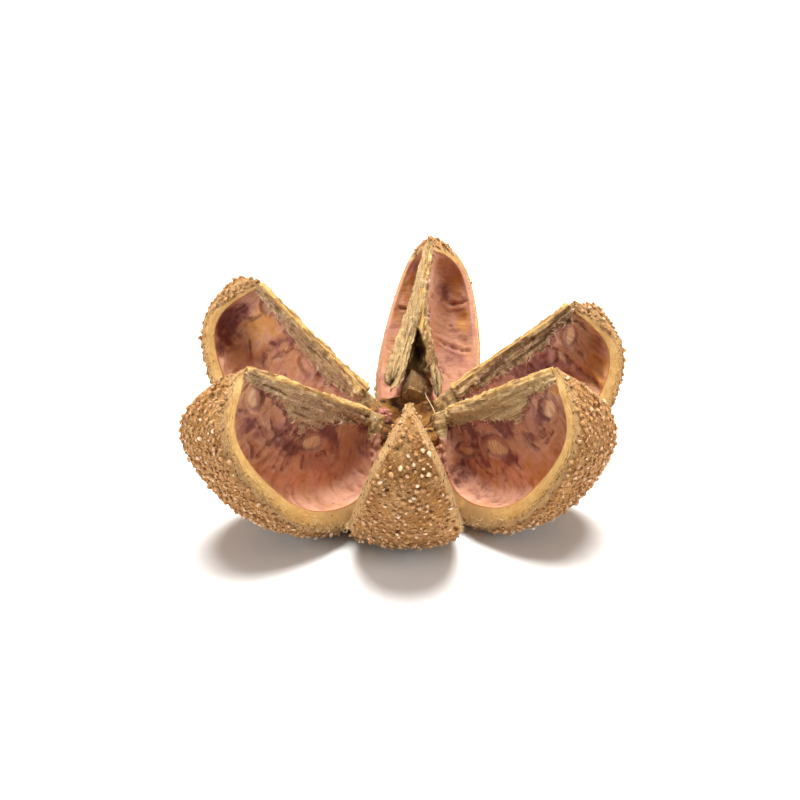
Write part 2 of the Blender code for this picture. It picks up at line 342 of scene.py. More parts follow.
# What the lining of each hollow shows, in millimetres in the valve's own frame, X out from the
# axis and Z up it: the torn edge of the bar's web on it from the tip down, scars as (centre,
# two half sizes, turn, paleness), creases as lines with a width and a depth, and stains as
# (centre, reach, how much: dark is above 0, orange below).
LININGS = {
    ("left", 1): {
        "web": [(0.9, 34.5), (1.9, 31.4), (2.8, 28.6), (4.0, 25.4), (5.9, 22.2), (7.2, 18.3), (5.6, 15.0),
                (3.8, 11.8), (3.7, 8.0), (2.4, 5.6)],
        "scars": [((4.8, 30.8), 2.5, 1.6, 60, 0.75), ((8.9, 14.5), 2.3, 1.7, -28, 1.0)],
        "creases": [
            ([(7.9, 32.5), (6.7, 30.2), (5.9, 28.8), (4.5, 25.7)], 0.35, 0.30),
            ([(8.6, 20.9), (11.2, 23.6), (14.2, 24.8)], 0.5, 0.45),
            ([(8.3, 19.3), (10.6, 21.6), (14.9, 23.0)], 0.45, 0.40),
            ([(8.2, 17.6), (12.6, 18.5), (15.5, 18.1)], 0.5, 0.45),
            ([(8.6, 18.4), (12.4, 20.2), (15.6, 20.4)], 0.35, 0.35),
            ([(10.9, 15.4), (14.1, 14.2)], 0.4, 0.35),
            ([(9.6, 27.5), (12.4, 28.4), (13.2, 26.8), (15.1, 25.8)], 0.5, 0.35),
            ([(8.2, 28.6), (10.4, 26.0), (11.4, 23.8)], 0.5, 0.35),
            ([(7.2, 25.6), (9.3, 23.6), (10.0, 21.8)], 0.45, 0.30),
            ([(10.8, 12.2), (9.9, 10.8), (10.8, 9.6)], 0.4, 0.30),
        ],
        "stains": [
            ((9.6, 29.5), 2.2, 1.0), ((10.4, 26.6), 1.8, 0.8), ((10.4, 22.0), 3.2, 0.7),
            ((11.4, 18.2), 3.0, 0.7), ((6.3, 11.9), 2.4, 0.9), ((8.0, 9.6), 2.2, 0.7),
            ((6.3, 3.7), 2.0, 0.6), ((4.8, 9.0), 1.8, -0.9), ((7.2, 7.2), 1.6, -0.4),
            ((3.6, 33.6), 2.6, -0.8), ((6.8, 23.4), 1.6, -0.5), ((9.6, 12.2), 1.2, -0.4),
        ],
    },
    ("right", -1): {
        "web": [(1.0, 35.6), (2.8, 31.4), (2.9, 27.6), (4.6, 24.4), (7.2, 21.8), (5.6, 18.6), (4.7, 15.3),
                (4.1, 11.8), (3.4, 6.1), (2.1, 1.5)],
        "scars": [
            ((8.6, 5.4), 1.9, 1.5, -20, 0.85), ((9.9, 13.1), 2.8, 2.1, -25, 1.0),
            ((6.6, 29.4), 2.2, 1.8, 50, 0.9),
        ],
        "creases": [
            ([(6.9, 26.6), (8.6, 28.4), (10.8, 28.4), (12.4, 25.4)], 0.45, 0.30),
            ([(7.6, 25.6), (9.2, 26.9), (10.9, 26.2), (11.6, 23.6)], 0.40, 0.28),
            ([(12.8, 22.9), (11.2, 21.2), (8.9, 21.4)], 0.45, 0.30),
            ([(10.4, 10.4), (11.9, 9.3), (13.4, 9.2)], 0.45, 0.35),
            ([(7.0, 9.4), (9.2, 8.6), (11.4, 8.9)], 0.35, 0.35),
            ([(12.4, 17.0), (14.2, 16.2), (16.0, 16.6)], 0.45, 0.25),
            ([(6.1, 2.6), (8.6, 2.0), (11.2, 2.4)], 0.6, 0.40),
            ([(11.2, 6.4), (13.6, 7.4), (15.6, 9.6)], 0.40, 0.25),
        ],
        "stains": [
            ((7.6, 9.2), 2.4, 1.0), ((7.0, 17.4), 2.6, 0.9), ((12.2, 14.6), 2.6, 0.9),
            ((11.8, 9.0), 2.2, 0.8), ((10.4, 23.6), 2.4, 0.5), ((8.2, 26.2), 2.0, 0.7),
            ((2.9, 33.8), 3.0, -1.0), ((17.0, 19.5), 4.0, -0.7), ((13.4, 25.8), 2.6, -0.4),
            ((8.0, 20.8), 1.6, -0.7), ((6.0, 1.8), 2.0, -0.6), ((12.0, 3.2), 2.5, 0.35),
        ],
    },
    ("back_left", 1): {
        "web": [(0.8, 34.5), (2.4, 29.0), (3.4, 24.2), (4.2, 20.4), (5.2, 14.0), (4.4, 9.0), (3.0, 5.0)],
        "scars": [((3.4, 31.0), 1.9, 1.2, 40, 0.35), ((6.7, 17.2), 2.3, 1.7, 20, 0.45)],
        "creases": [
            ([(14.6, 25.6), (8.8, 24.7), (4.5, 23.1), (2.0, 19.9)], 0.9, 0.70),
            ([(12.0, 23.6), (9.0, 22.4), (6.0, 21.4), (3.4, 18.7)], 0.6, 0.40),
            ([(3.0, 17.4), (3.6, 14.6), (7.3, 13.4)], 0.5, 0.40),
            ([(10.6, 35.0), (8.4, 31.6), (6.0, 30.6)], 0.4, 0.25),
            ([(16.4, 27.2), (13.0, 29.6), (12.0, 33.0)], 0.4, 0.20),
        ],
        "stains": [
            ((9.3, 35.0), 3.4, 1.0), ((12.6, 34.6), 3.0, 1.0), ((15.4, 33.2), 3.0, 0.8),
            ((8.8, 24.7), 2.2, 0.9), ((4.6, 23.0), 2.0, 0.9), ((13.6, 25.0), 2.0, 0.6),
            ((6.1, 29.3), 4.6, -0.9), ((10.0, 30.0), 3.6, -0.7), ((6.7, 17.4), 2.4, -0.6),
            ((10.8, 15.0), 2.4, -0.3), ((3.0, 14.2), 1.6, 0.7),
        ],
    },
    ("back_right", -1): {
        "web": [(0.9, 35.0), (3.2, 32.4), (2.7, 29.4), (4.2, 25.2), (4.6, 20.6), (3.9, 14.2), (2.8, 9.0)],
        "scars": [((6.0, 31.3), 2.4, 1.6, 55, 0.8), ((7.4, 26.1), 1.9, 1.2, 60, 0.35)],
        "creases": [
            ([(4.4, 25.7), (8.4, 28.4), (12.8, 29.3), (18.0, 30.4)], 0.7, 0.65),
            ([(3.4, 33.4), (5.0, 34.6), (8.0, 34.8)], 0.35, 0.20),
            ([(9.0, 30.8), (11.4, 31.6), (14.0, 31.0)], 0.35, 0.20),
            ([(8.6, 24.0), (11.4, 23.4), (15.0, 24.4)], 0.45, 0.30),
            ([(6.0, 21.0), (10.0, 19.6), (14.0, 20.0)], 0.5, 0.30),
        ],
        "stains": [
            ((7.3, 24.0), 4.2, 1.0), ((11.4, 25.8), 3.8, 0.9), ((5.4, 19.4), 4.0, 0.9),
            ((12.0, 19.0), 5.0, 0.9), ((9.8, 31.9), 2.6, 0.35), ((14.6, 33.2), 3.6, -0.9),
            ((3.0, 33.0), 2.4, -0.7), ((16.6, 30.8), 2.4, -0.5),
        ],
    },
    ("back", -1): {
        "web": [(0.5, 36.0), (0.8, 28.0), (1.0, 20.0), (1.0, 14.0), (1.6, 8.0)],
        "scars": [],
        "creases": [
            ([(8.5, 27.3), (16.4, 30.8)], 0.5, 0.45), ([(11.3, 23.6), (19.1, 23.4)], 0.4, 0.3),
            ([(8.0, 24.6), (10.6, 19.6), (14.0, 15.0)], 0.6, 0.35),
        ],
        "stains": [((15.3, 33.0), 2.4, 0.9), ((14.4, 35.0), 2.4, -0.7), ((10.0, 22.0), 3.0, 0.5)],
    },
    ("back", 1): {
        "web": [(0.5, 36.0), (1.2, 28.0), (2.0, 20.0), (2.6, 14.0), (3.4, 8.0)],
        "scars": [],
        "creases": [([(12.0, 29.4), (16.8, 29.0)], 0.35, 0.25)],
        "stains": [((10.7, 36.7), 2.6, 0.6), ((14.0, 32.4), 2.6, -0.4)],
    },
}
# The same on the inner wall of the back valve, which faces the front: X across, Z up.
BACK_WALL = {
    "creases": [
        ([(-2.1, 30.8), (-3.3, 30.4), (-6.6, 30.5), (-9.6, 31.3)], 0.4, 0.40),
        ([(-1.7, 22.8), (-4.3, 22.0), (-7.4, 21.0), (-9.4, 20.8)], 0.35, 0.30),
        ([(-0.8, 26.4), (-5.0, 26.2), (-9.6, 26.0)], 0.25, 0.12),
        ([(9.0, 28.6), (6.5, 28.9), (3.0, 28.9)], 0.3, 0.25),
        ([(9.6, 20.0), (6.4, 19.2), (3.0, 19.8)], 0.3, 0.2),
        ([(-3.0, 16.5), (-5.6, 14.2), (-9.0, 13.4)], 0.35, 0.2),
    ],
    "stains": [
        ((-2.8, 33.0), 2.2, 1.0), ((-4.8, 33.6), 2.4, -1.0), ((-7.2, 27.0), 2.4, -1.0),
        ((6.4, 33.6), 3.0, -0.7), ((6.8, 24.0), 4.0, -0.3), ((-5.0, 18.0), 3.4, 0.2),
    ],
}


def opened(azimuth, lean, lift, size, length, width, roll, twist):
    stretch = Matrix.Diagonal((size * width, size * width, size * length, 1))
    turn = (
        Matrix.Rotation(math.radians(lean), 4, "Y")
        @ Matrix.Rotation(math.radians(roll), 4, "X")
        @ Matrix.Rotation(math.radians(twist), 4, "Z")
    )
    hinge = Matrix.Translation((HINGE_RADIUS, 0, lift))
    swing = Matrix.Rotation(math.radians(-90 - azimuth), 4, "Z")
    return Matrix.Translation(FROM_BASE) @ swing @ hinge @ turn @ stretch


def carried(matrix, points):
    """A grid of points, carried by a 4 x 4 matrix."""
    whole = np.array(matrix)
    return (points.reshape(-1, 3) @ whole[:3, :3].T + whole[:3, 3]).reshape(points.shape)


def fractal(points, scale, octaves, seed):
    """Fractal noise of about -1 to 1 at each point, in bumps about 1 / scale across."""
    shifted = points.reshape(-1, 3) * scale + np.array((seed * 7.31, seed * 3.17, seed * 5.53))
    found = [noise.fractal(point, 1.0, 2.0, octaves) for point in shifted.tolist()]
    return np.array(found).reshape(points.shape[:-1])


def cells(points, scale, seed):
    """Distance to the nearest cell centre, in cells, and a random value for that cell."""
    shifted = points.reshape(-1, 3) * scale + np.array((seed * 2.71, seed * 4.37, seed * 1.93))
    near, value = [], []
    for point in shifted.tolist():
        distances, centres = noise.voronoi(point)
        near.append(distances[0])
        value.append(noise.cell(centres[0] * 5.3))
    return (np.array(found).reshape(points.shape[:-1]) for found in (near, value))


def line_distance(points, line):
    """Distance of 2-D points from a line of several points."""
    best = np.full(len(points), 1e9)
    for start, end in zip(np.array(line[:-1]), np.array(line[1:])):
        run = end - start
        share = np.clip((points - start) @ run / (run @ run), 0, 1)
        best = np.minimum(best, np.linalg.norm(points - start - share[:, None] * run, axis=1))
    return best


def lining_marks(flat, marks, wander):
    """Depth in mm, paleness, painted shade in creases and under scars' edges, and stains at flat places
    on the lining.
    """
    shape, wander = wander.shape, wander.ravel()
    depth, pale, crease, stain_and_shade = (np.zeros(len(flat)) for _ in range(4))
    for centre, long, short, turn, paleness in marks.get("scars", ()):
        a = math.radians(turn)
        offset = flat - centre
        x = (offset[:, 0] * math.cos(a) + offset[:, 1] * math.sin(a)) / short
        z = (offset[:, 1] * math.cos(a) - offset[:, 0] * math.sin(a)) / long
        reach = np.hypot(x, z) * 0.9 + wander * 0.10
        pad = 1 - smooth(0.80, 1.02, reach)
        depth += 0.30 * np.exp(-((reach - 1.10) / 0.16) ** 2) - 0.34 * pad
        # The edge towards the axis overhangs the pad: painted shade under that edge goes in with the
        # creases' painted shade.
        shade = np.exp(-((reach - 0.98) / 0.20) ** 2) * smooth(-0.5, 0.8, -x / (reach + 0.1))
        crease = np.maximum(crease, 0.9 * shade)
        soft = 1 - smooth(0.45, 1.12, reach)
        pale = np.maximum(pale, soft * paleness * smooth(-1.1, 0.2, x + 0.3 * wander))
    # The creases fade and come back along their way, in depth and in painted shade.
    fading = smooth(-0.9, 0.3, np.roll(wander, 37) * 1.2 + 0.2)
    for line, width, deep in marks["creases"]:
        near = line_distance(flat, line) + wander * 0.55
        depth -= 1.1 * deep * np.exp(-(near / width) ** 2) * (0.4 + 0.6 * fading)
        depth += 0.55 * deep * np.exp(-((near - 1.9 * width) / width) ** 2)
        crease = np.maximum(crease, np.exp(-(near / (0.55 * width)) ** 2) * fading)
    for centre, reach, amount in marks["stains"]:
        near = np.linalg.norm(flat - centre, axis=1) / reach + wander * 0.35
        stain_and_shade += amount * (1 - smooth(0.35, 1.15, near))
    return [found.reshape(shape) for found in (depth, pale, crease, np.clip(stain_and_shade, -1, 1))]


def made_up_marks(draw):
    """Marks of the same kinds for a hollow that the camera doesn't look into."""
    scars = [
        ((draw.uniform(5, 9), z + draw.uniform(-2, 2)), draw.uniform(1.8, 2.6),
         draw.uniform(1.3, 1.9), draw.uniform(-50, 50), draw.uniform(0.5, 1.0))
        for z in (7, 15, 29)
    ]
    creases = []
    for z in (5, 12, 18, 23, 27, 32):
        start = (draw.uniform(4, 8), z + draw.uniform(-2, 2))
        middle = (start[0] + draw.uniform(2, 4), start[1] + draw.uniform(-1, 3))
        end = (middle[0] + draw.uniform(2, 5), middle[1] + draw.uniform(-2, 2))
        creases.append(([start, middle, end], draw.uniform(0.35, 0.6), draw.uniform(0.2, 0.5)))
    stains = [
        ((draw.uniform(4, 16), draw.uniform(3, 34)), draw.uniform(1.8, 3.8),
         draw.uniform(0.4, 1.0) * draw.choice((1, 1, -1)))
        for _ in range(11)
    ]
    web = [(draw.uniform(0.7, 1.2) * x, z) for x, z in ((1, 34), (3, 26), (5, 19), (4, 11), (3, 5))]
    return {"web": web, "scars": scars, "creases": creases, "stains": stains}


def grid_normals(grid):
    """Outward normals of a grid of points that closes on itself along each row."""
    along = np.gradient(grid, axis=0)
    across = (np.roll(grid, -1, axis=1) - np.roll(grid, 1, axis=1)) / 2
    normals = np.cross(across, along)
    length = np.linalg.norm(normals, axis=2, keepdims=True)
    normals /= np.maximum(length, 1e-12)
    return normals


class Skin:
    """A valve's points before they become a mesh: how far each moves and shifts, in metres,
    which finish it gets, and what it stores for the finishes."""

    def __init__(self, name, seed):
        self.name, self.seed = name, seed
        self.grid, angles, lengths = valve_grid(name)
        self.size = self.grid.shape[:2]
        self.share = (lengths / lengths[-1])[:, None]
        self.reach = np.array([on_outline(angle)[0] for angle in angles])
        self.pole = smooth(0.5, 4.5, self.reach / MM)[:, None]
        self.out = np.array([outward(angle) for angle in angles])
        self.stored = {key: np.zeros(self.size) for key in STORED}
        self.kinds = np.zeros(self.size, int)
        self.move = np.zeros(self.size)
        self.shift, self.flow = (np.zeros((*self.size, 3)) for _ in range(2))
        self.flow[:, :, 0] = lengths[:, None] / MM
        self.flow[:, :, 2] = seed * 10

    def grow_rind(self):
        """The rind: bumps, pits and loose layers, and at its two edges a smooth bevel."""
        name, seed, share = self.name, self.seed, self.share
        angle_across = HALF_ANGLE * (2 * np.arange(1, RIND_STEPS) / RIND_STEPS - 1)
        to_edge = (HALF_ANGLE - np.abs(angle_across))[None, :] * self.reach[:, None] / MM
        side = angle_across[None, :] * self.reach[:, None] / MM
        self.flow[:, :RIND_POINTS, 1] = side
        self.stored["edge"][:, :RIND_POINTS] = to_edge - WIDER_BEVEL.get(name, 0.0)
        along = self.flow[:, :RIND_POINTS, 0]
        flat = self.grid[:, :RIND_POINTS] / MM
        swell = fractal(flat, 0.16, 2, seed)
        grain = fractal(flat, 0.75, 3, seed + 1)
        leaves = np.abs(fractal(stacked(along * 0.95, side * 0.20, seed * 3.3), 1.0, 2, seed + 2))
        patchy = fractal(flat, 0.22, 2, seed + 3)
        layering = smooth(0.62, 0.36, share + patchy * 0.10)
        pit_near, pit_size = cells(stacked(along, side * 0.6, seed), 0.62, seed)
        pit = smooth(0.42, 0.12, pit_near) * (pit_size > -0.1)
        knob_near, knob_size = cells(flat, 0.62, seed + 4)
        knob = smooth(0.55, 0.05, knob_near) * (0.6 + 0.4 * knob_size)
        gravel = fractal(flat, 1.9, 2, seed + 13)
        relief = 0.16 * grain + 0.16 * gravel + 0.24 * knob * (1 - 0.6 * layering)
        relief -= 0.50 * pit * (0.5 + 0.5 * layering)
        relief += layering * (0.30 - 0.90 * leaves)
        inner = smooth(0.5, 1.6, to_edge)
        bevel = BEVEL_DEPTH * (1 - smooth(-0.2, BEVEL_WIDTH, to_edge))
        direction = stacked(
            self.out[:, :1] * np.cos(angle_across), self.out[:, :1] * np.sin(angle_across),
            self.out[:, 1:],
        )
        self.shift[:, :RIND_POINTS] -= bevel[:, :, None] * direction * MM
        thick_tip = 0.8 * smooth(0.84, 0.95, share) * (name in TIP_WARTS)
        raised = inner * (0.30 + 0.22 * swell + relief) + 0.04 * grain + thick_tip
        self.move[:, :RIND_POINTS] = self.pole * raised * MM
        # Warts stand on the rind away from its edges, and not where the base holds the foot.
        on_tip = TIP_WARTS.get(name, 0.0) * smooth(0.86, 0.95, share)
        from_edge = to_edge + on_tip - WART_MARGIN.get(name, 0.0)
        self.stored["warty"][:, :RIND_POINTS] = (
            WARTS_LEFT.get(name, 1.0) * smooth(0.25, 0.95, from_edge) * smooth(0.07, 0.12, share)
        )
        self.stored["relief"][:, :RIND_POINTS] = relief * inner
        self.stored["bar"][:, :RIND_POINTS] = layering

    def grow_inside(self, start, sign, marks):
        """One side's inside, from the rim over the lining to the bar, with its marks."""
        name, seed, share, pole = self.name, self.seed, self.share, self.pole
        where = np.arange(self.size[1])[start:start + HALF_POINTS][::sign]
        inside = self.grid[:, where]
        step = np.linalg.norm(np.diff(inside, axis=1), axis=2)
        run = np.concatenate([np.zeros((len(inside), 1)), np.cumsum(step, axis=1)], axis=1) / MM
        wide = run[:, RIM_END][:, None]
        self.flow[:, where, 1] = run * sign
        along = self.flow[:, where, 0]
        part = np.clip(run / np.maximum(wide, 1e-6), 0, 1)
        deep = np.maximum(run - wide, 0)
        flat = inside / MM
        x, y, z = (flat[:, :, axis] for axis in range(3))
        index = np.arange(HALF_POINTS)[None, :]
        on_rim = index <= RIM_END

        # The rim starts at the bevel's foot, and low down its threads come loose.
        bevel = BEVEL_DEPTH * (1 - smooth(-0.2, BEVEL_WIDTH, 0.0))
        rim_shift = bevel * (1 - part[:, :RIM_END + 1])
        cut = HALF_ANGLE * sign
        direction = np.stack(
            [self.out[:, 0] * math.cos(cut), self.out[:, 0] * math.sin(cut), self.out[:, 1]], axis=1
        )
        self.shift[:, where[:RIM_END + 1]] -= rim_shift[:, :, None] * direction[:, None, :] * MM
        thread = fractal(stacked(along * 1.7, run * 0.35, seed + sign), 1.0, 3, seed + 5)
        hairy = smooth(0.52, 0.36, share)
        cushion = 0.16 * np.sin(np.pi * part) * on_rim
        rim_move = on_rim * (cushion + thread * (0.05 + 0.16 * hairy * (1 - part)))
        self.stored["frayed"][:, where] = (
            on_rim * smooth(0.55, 0.15, part) * hairy * smooth(0.10, 0.14, share)
        )

        # The lining's scars, creases and stains, which on the split valve's wall are its own.
        places = flat.reshape(-1, 3)
        wander = fractal(flat, 0.42, 3, seed + 6)
        found = lining_marks(places[:, [0, 2]], marks, wander)
        if name == SPLIT_VALVE:
            on_back = smooth(12.5, 15.0, np.hypot(x, y))
            on_its_wall = lining_marks(places[:, [1, 2]], BACK_WALL, wander)
            found = [a * (1 - on_back) + b * on_back for a, b in zip(found, on_its_wall)]
        depth, pale, crease, stain_and_shade = found
        wrinkle = fractal(stacked(along * 0.75, run * 0.30, seed - sign), 1.0, 3, seed + 7)
        lump = fractal(flat, 0.30, 2, seed + 8)

        # The bar's web: torn fibrous tissue that spreads from the axis over the thin wall.
        tatter = fractal(flat, 0.55, 5, seed + 12)
        web_x, web_z = np.array(sorted(marks["web"], key=lambda place: place[1])).T
        past = np.interp(z, web_z, web_x) + 1.3 * tatter - x
        on_wall = smooth(3.4, 2.2, np.abs(y)) * (index > RIM_END + 3)
        bar_from = BAR_START + LATE_BAR_FIBRES.get((name, sign), BAR_FIBRES)
        webbed = smooth(-0.18, 0.18, past) * on_wall
        barred = np.maximum(webbed, smooth(bar_from, bar_from + 4, index)) > 0.5
        thick = np.maximum(smooth(-0.2, 0.3, past) * on_wall, index > BAR_START + 8)
        settle = smooth(0.2, 1.6, deep) * (index > RIM_END) * (1 - thick) * pole
        thin = smooth(2.5, 5.0, np.abs(y))
        calm = FLATTER_LINING.get(name, 1.0)
        body = calm * (0.20 * wrinkle - 0.08 * np.abs(wrinkle)) + 0.26 * lump * (0.5 + thin)
        lining_move = settle * np.clip(body + depth, -0.52, 1.2)
        strand = fractal(stacked(z * 0.16, x * 1.3, y * 1.3 + seed), 1.0, 4, seed + 9)
        rough = fractal(flat, 0.9, 3, seed + 10)
        rolled = 0.30 * np.exp(-((past - 0.35) / 0.35) ** 2) * on_wall
        bar_move = thick * pole * (0.26 + rolled + 0.42 * strand + 0.34 * rough)
        # The broken ends by the hinge are knobbly.
        at_hinge = smooth(0.065, 0.045, share + 0.02 * tatter)
        by_hinge = smooth(0.20, 0.10, share) * thick
        bar_move = bar_move + pole * (0.6 * rough + 0.4 * tatter) * np.maximum(by_hinge, at_hinge)
        foot = smooth(0.235, 0.185, share + 0.05 * tatter)
        rim_move = rim_move + on_rim * foot * (0.5 * rough + 0.3 * wrinkle) * smooth(0, 0.3, part)
        self.move[:, where] = (rim_move * pole + lining_move + bar_move) * MM

        # Which finish each place gets. Round the tips the grit reaches over the rim.
        bare = mix(NARROW_CUT_WALL.get(name, CUT_WALL), CUT_WALL, smooth(0.80, 0.90, share))
        bare = bare + 0.2 * tatter
        cover = WIDE_TIP_COVER.get((name, sign), TIP_COVER)
        over_tip = (name in TIP_WARTS) * cover * smooth(0.82, 0.90, share)
        kinds = np.where(on_rim & (part < bare) & (foot < 0.5), CUT, LINING)
        kinds = np.where(barred | (at_hinge > 0.5), BAR, kinds)
        kinds = np.where(on_rim & (part + 0.15 * tatter < over_tip), RIND, kinds)
        self.kinds[:, where] = kinds
        self.stored["warty"][:, where] = (
            on_rim * smooth(over_tip, over_tip - 0.15, part) * (over_tip > 0.1)
        )

        # Painted shade: a dark band on the lining just under the web's torn edge, where the web shades
        # it.
        stain_and_shade = stain_and_shade + 0.9 * np.exp(-((past + 0.7) / 0.7) ** 2) * on_wall
        # Each lining is darker towards the base by its own amount.
        stain_and_shade = np.clip(stain_and_shade + DARKER_LOW_LINING.get(name, 0.0) * smooth(24.0, 12.0, z), -1, 1)
        self.stored["pale"][:, where] = pale
        self.stored["crease"][:, where] = crease
        self.stored["stain_and_shade"][:, where] = stain_and_shade
        web_grey = np.where(on_rim, hairy, GREY_WEB.get(name, 0.5))
        self.stored["bar"][:, where] = web_grey * (1 - at_hinge)
        away = smooth(0.93, 0.86, share) * smooth(0.12, 0.18, share)
        torn_edge = smooth(0.9, 0.2, np.abs(past - 0.3)) * on_wall
        self.stored["fringe"][:, where] = torn_edge * away * (name != "front")
        relief = np.where(on_rim, thread, np.where(barred, strand, wrinkle)) * (1 - at_hinge)
        # Painted shade, through a lower relief: on the bars that BAR_SHADE darkens and, on the split
        # valve, low on its torn wall and on its right half.
        relief = relief - (0.40 + 0.9 * tatter) * at_hinge - BAR_SHADE.get(name, 0.0) * barred
        if name == SPLIT_VALVE:
            torn = TORN_SHADE * smooth(0.36, 0.22, share) + RIGHT_HALF_SHADE * (sign < 0)
            relief = relief - np.maximum(torn * barred, 0.8 * at_hinge)
        self.stored["relief"][:, where] = relief
        cleaner = CLEANER_LINING.get(name, 0.0) * smooth(5.0, 9.0, x)
        self.stored["edge"][:, where] = np.where(on_rim, part, x - cleaner)

    def grow_crest(self):
        """The bar's top edge. In the split valve's cleft it gets painted shade low down."""
        cresting = np.arange(RIND_POINTS + HALF_POINTS, self.size[1] - HALF_POINTS)
        top = self.grid[:, cresting] / MM
        ridge = fractal(top * (1.3, 1.3, 0.16) + (0, self.seed, 0), 1.0, 4, self.seed + 9)
        self.move[:, cresting] = (0.26 + 0.44 * ridge) * self.pole * MM
        self.kinds[:, cresting] = BAR
        self.stored["bar"][:, cresting] = 1
        # Painted shade low down inside the cleft.
        deep_down = smooth(0.50, 0.30, self.share) * CLEFT_SHADE * (self.name == SPLIT_VALVE)
        self.stored["relief"][:, cresting] = ridge - deep_down


def dressed(thing):
    """Puts a finished piece on the capsule's one body, in place of its plain solid."""
    scene.collection.objects.link(thing)
    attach(thing, "root")
    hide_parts("capsule")
    return thing


def closed_piece(name, points, finish, materials, vectors, values):
    """A piece from a grid of points that closes along each row, with what its materials read,
    welded at its poles and with its normals outwards."""
    rows, columns = points.shape[:2]
    faces = [
        (row * columns + side, row * columns + (side + 1) % columns,
         (row + 1) * columns + (side + 1) % columns, (row + 1) * columns + side)
        for row in range(rows - 1) for side in range(columns)
    ]
    data = bpy.data.meshes.new(name)
    data.from_pydata(points.reshape(-1, 3).tolist(), [], faces)
    finish = np.array(np.broadcast_to(finish, len(faces)), np.int32)
    data.polygons.foreach_set("material_index", finish)
    for kind, sort, stored in (("FLOAT_VECTOR", "vector", vectors), ("FLOAT", "value", values)):
        for key, value in stored.items():
            layer = data.attributes.new(key, kind, "POINT")
            layer.data.foreach_set(sort, np.asarray(value, np.float32).ravel())
    weld = bmesh.new()
    weld.from_mesh(data)
    bmesh.ops.remove_doubles(weld, verts=weld.verts, dist=2e-6)
    bmesh.ops.dissolve_degenerate(weld, edges=weld.edges, dist=2e-6)
    bmesh.ops.recalc_face_normals(weld, faces=weld.faces)
    weld.to_mesh(data)
    weld.free()
    data.shade_smooth()
    for material in materials:
        data.materials.append(material)
    return dressed(bpy.data.objects.new(name, data))


def node(tree, kind, inputs=None, **settings):
    """A node with its settings made and its inputs set or linked."""
    made = tree.nodes.new(kind)
    for key, value in settings.items():
        setattr(made, key, value)
    for key, value in (inputs or {}).items():
        if isinstance(value, bpy.types.NodeSocket):
            tree.links.new(value, made.inputs[key])
        else:
            made.inputs[key].default_value = value
    return made


def sums(tree, operation, first, second):
    return node(tree, "ShaderNodeMath", {0: first, 1: second}, operation=operation).outputs[0]


def ramp(tree, value, low, high):
    made = node(
        tree, "ShaderNodeMapRange", {"Value": value, "From Min": low, "From Max": high},
        interpolation_type="SMOOTHSTEP",
    )
    return made.outputs[0]


def new_group(name, **inputs):
    """An effect for several materials: a group with one mask to put out."""
    group = bpy.data.node_groups.new(name, "ShaderNodeTree")
    for label, value in inputs.items():
        kind = "NodeSocketVector" if isinstance(value, tuple) else "NodeSocketFloat"
        group.interface.new_socket(label, in_out="INPUT", socket_type=kind).default_value = value
    group.interface.new_socket("Mask", in_out="OUTPUT", socket_type="NodeSocketFloat")
    return group, group.nodes.new("NodeGroupInput").outputs, group.nodes.new("NodeGroupOutput").inputs


def drawn_out(tree, given):
    """The flow of a surface, counted in lengths and widths of what lies along it."""
    scale = node(tree, "ShaderNodeCombineXYZ", {
        "X": sums(tree, "DIVIDE", 1.0, given["Length"]),
        "Y": sums(tree, "DIVIDE", 1.0, given["Width"]), "Z": 1.0,
    })
    parts = {0: given["Flow"], 1: scale.outputs[0]}
    return node(tree, "ShaderNodeVectorMath", parts, operation="MULTIPLY").outputs[0]


# Strands: long fibres side by side, each a little lighter or darker than the next.
strands, given, put_out = new_group(
    "strands", Flow=(0.0, 0.0, 0.0), Length=6.0, Width=0.4, Tangle=0.3
)
cloud = node(strands, "ShaderNodeTexNoise", {
    "Vector": drawn_out(strands, given), "Scale": 1.0, "Detail": 5.0, "Roughness": 0.6,
    "Distortion": given["Tangle"],
})
strands.links.new(ramp(strands, cloud.outputs["Fac"], 0.32, 0.68), put_out["Mask"])

# Flecks: short dark dashes and pores, in some cells of a net only.
flecks, given, put_out = new_group(
    "flecks", Flow=(0.0, 0.0, 0.0), Length=1.6, Width=0.8, Size=0.22, Share=0.5
)
net = node(flecks, "ShaderNodeTexVoronoi", {"Vector": drawn_out(flecks, given), "Scale": 1.0})
chosen = node(flecks, "ShaderNodeSeparateColor", {"Color": net.outputs["Color"]})
there = sums(flecks, "LESS_THAN", chosen.outputs[0], given["Share"])
spot = node(flecks, "ShaderNodeMapRange", {
    "Value": net.outputs["Distance"], "From Min": sums(flecks, "MULTIPLY", given["Size"], 1.6),
    "From Max": sums(flecks, "MULTIPLY", given["Size"], 0.6),
})
flecks.links.new(sums(flecks, "MULTIPLY", spot.outputs[0], there), put_out["Mask"])

# Crumb: an even dusting of fine light and dark grains, in all directions alike.
crumb, given, put_out = new_group("crumb", Grain=0.25)
place = node(crumb, "ShaderNodeTexCoord")
cloud = node(crumb, "ShaderNodeTexNoise", {
    "Vector": place.outputs["Object"], "Detail": 4.0, "Roughness": 0.65,
    "Scale": sums(crumb, "DIVIDE", 1000.0, given["Grain"]),
})
crumb.links.new(ramp(crumb, cloud.outputs["Fac"], 0.30, 0.70), put_out["Mask"])

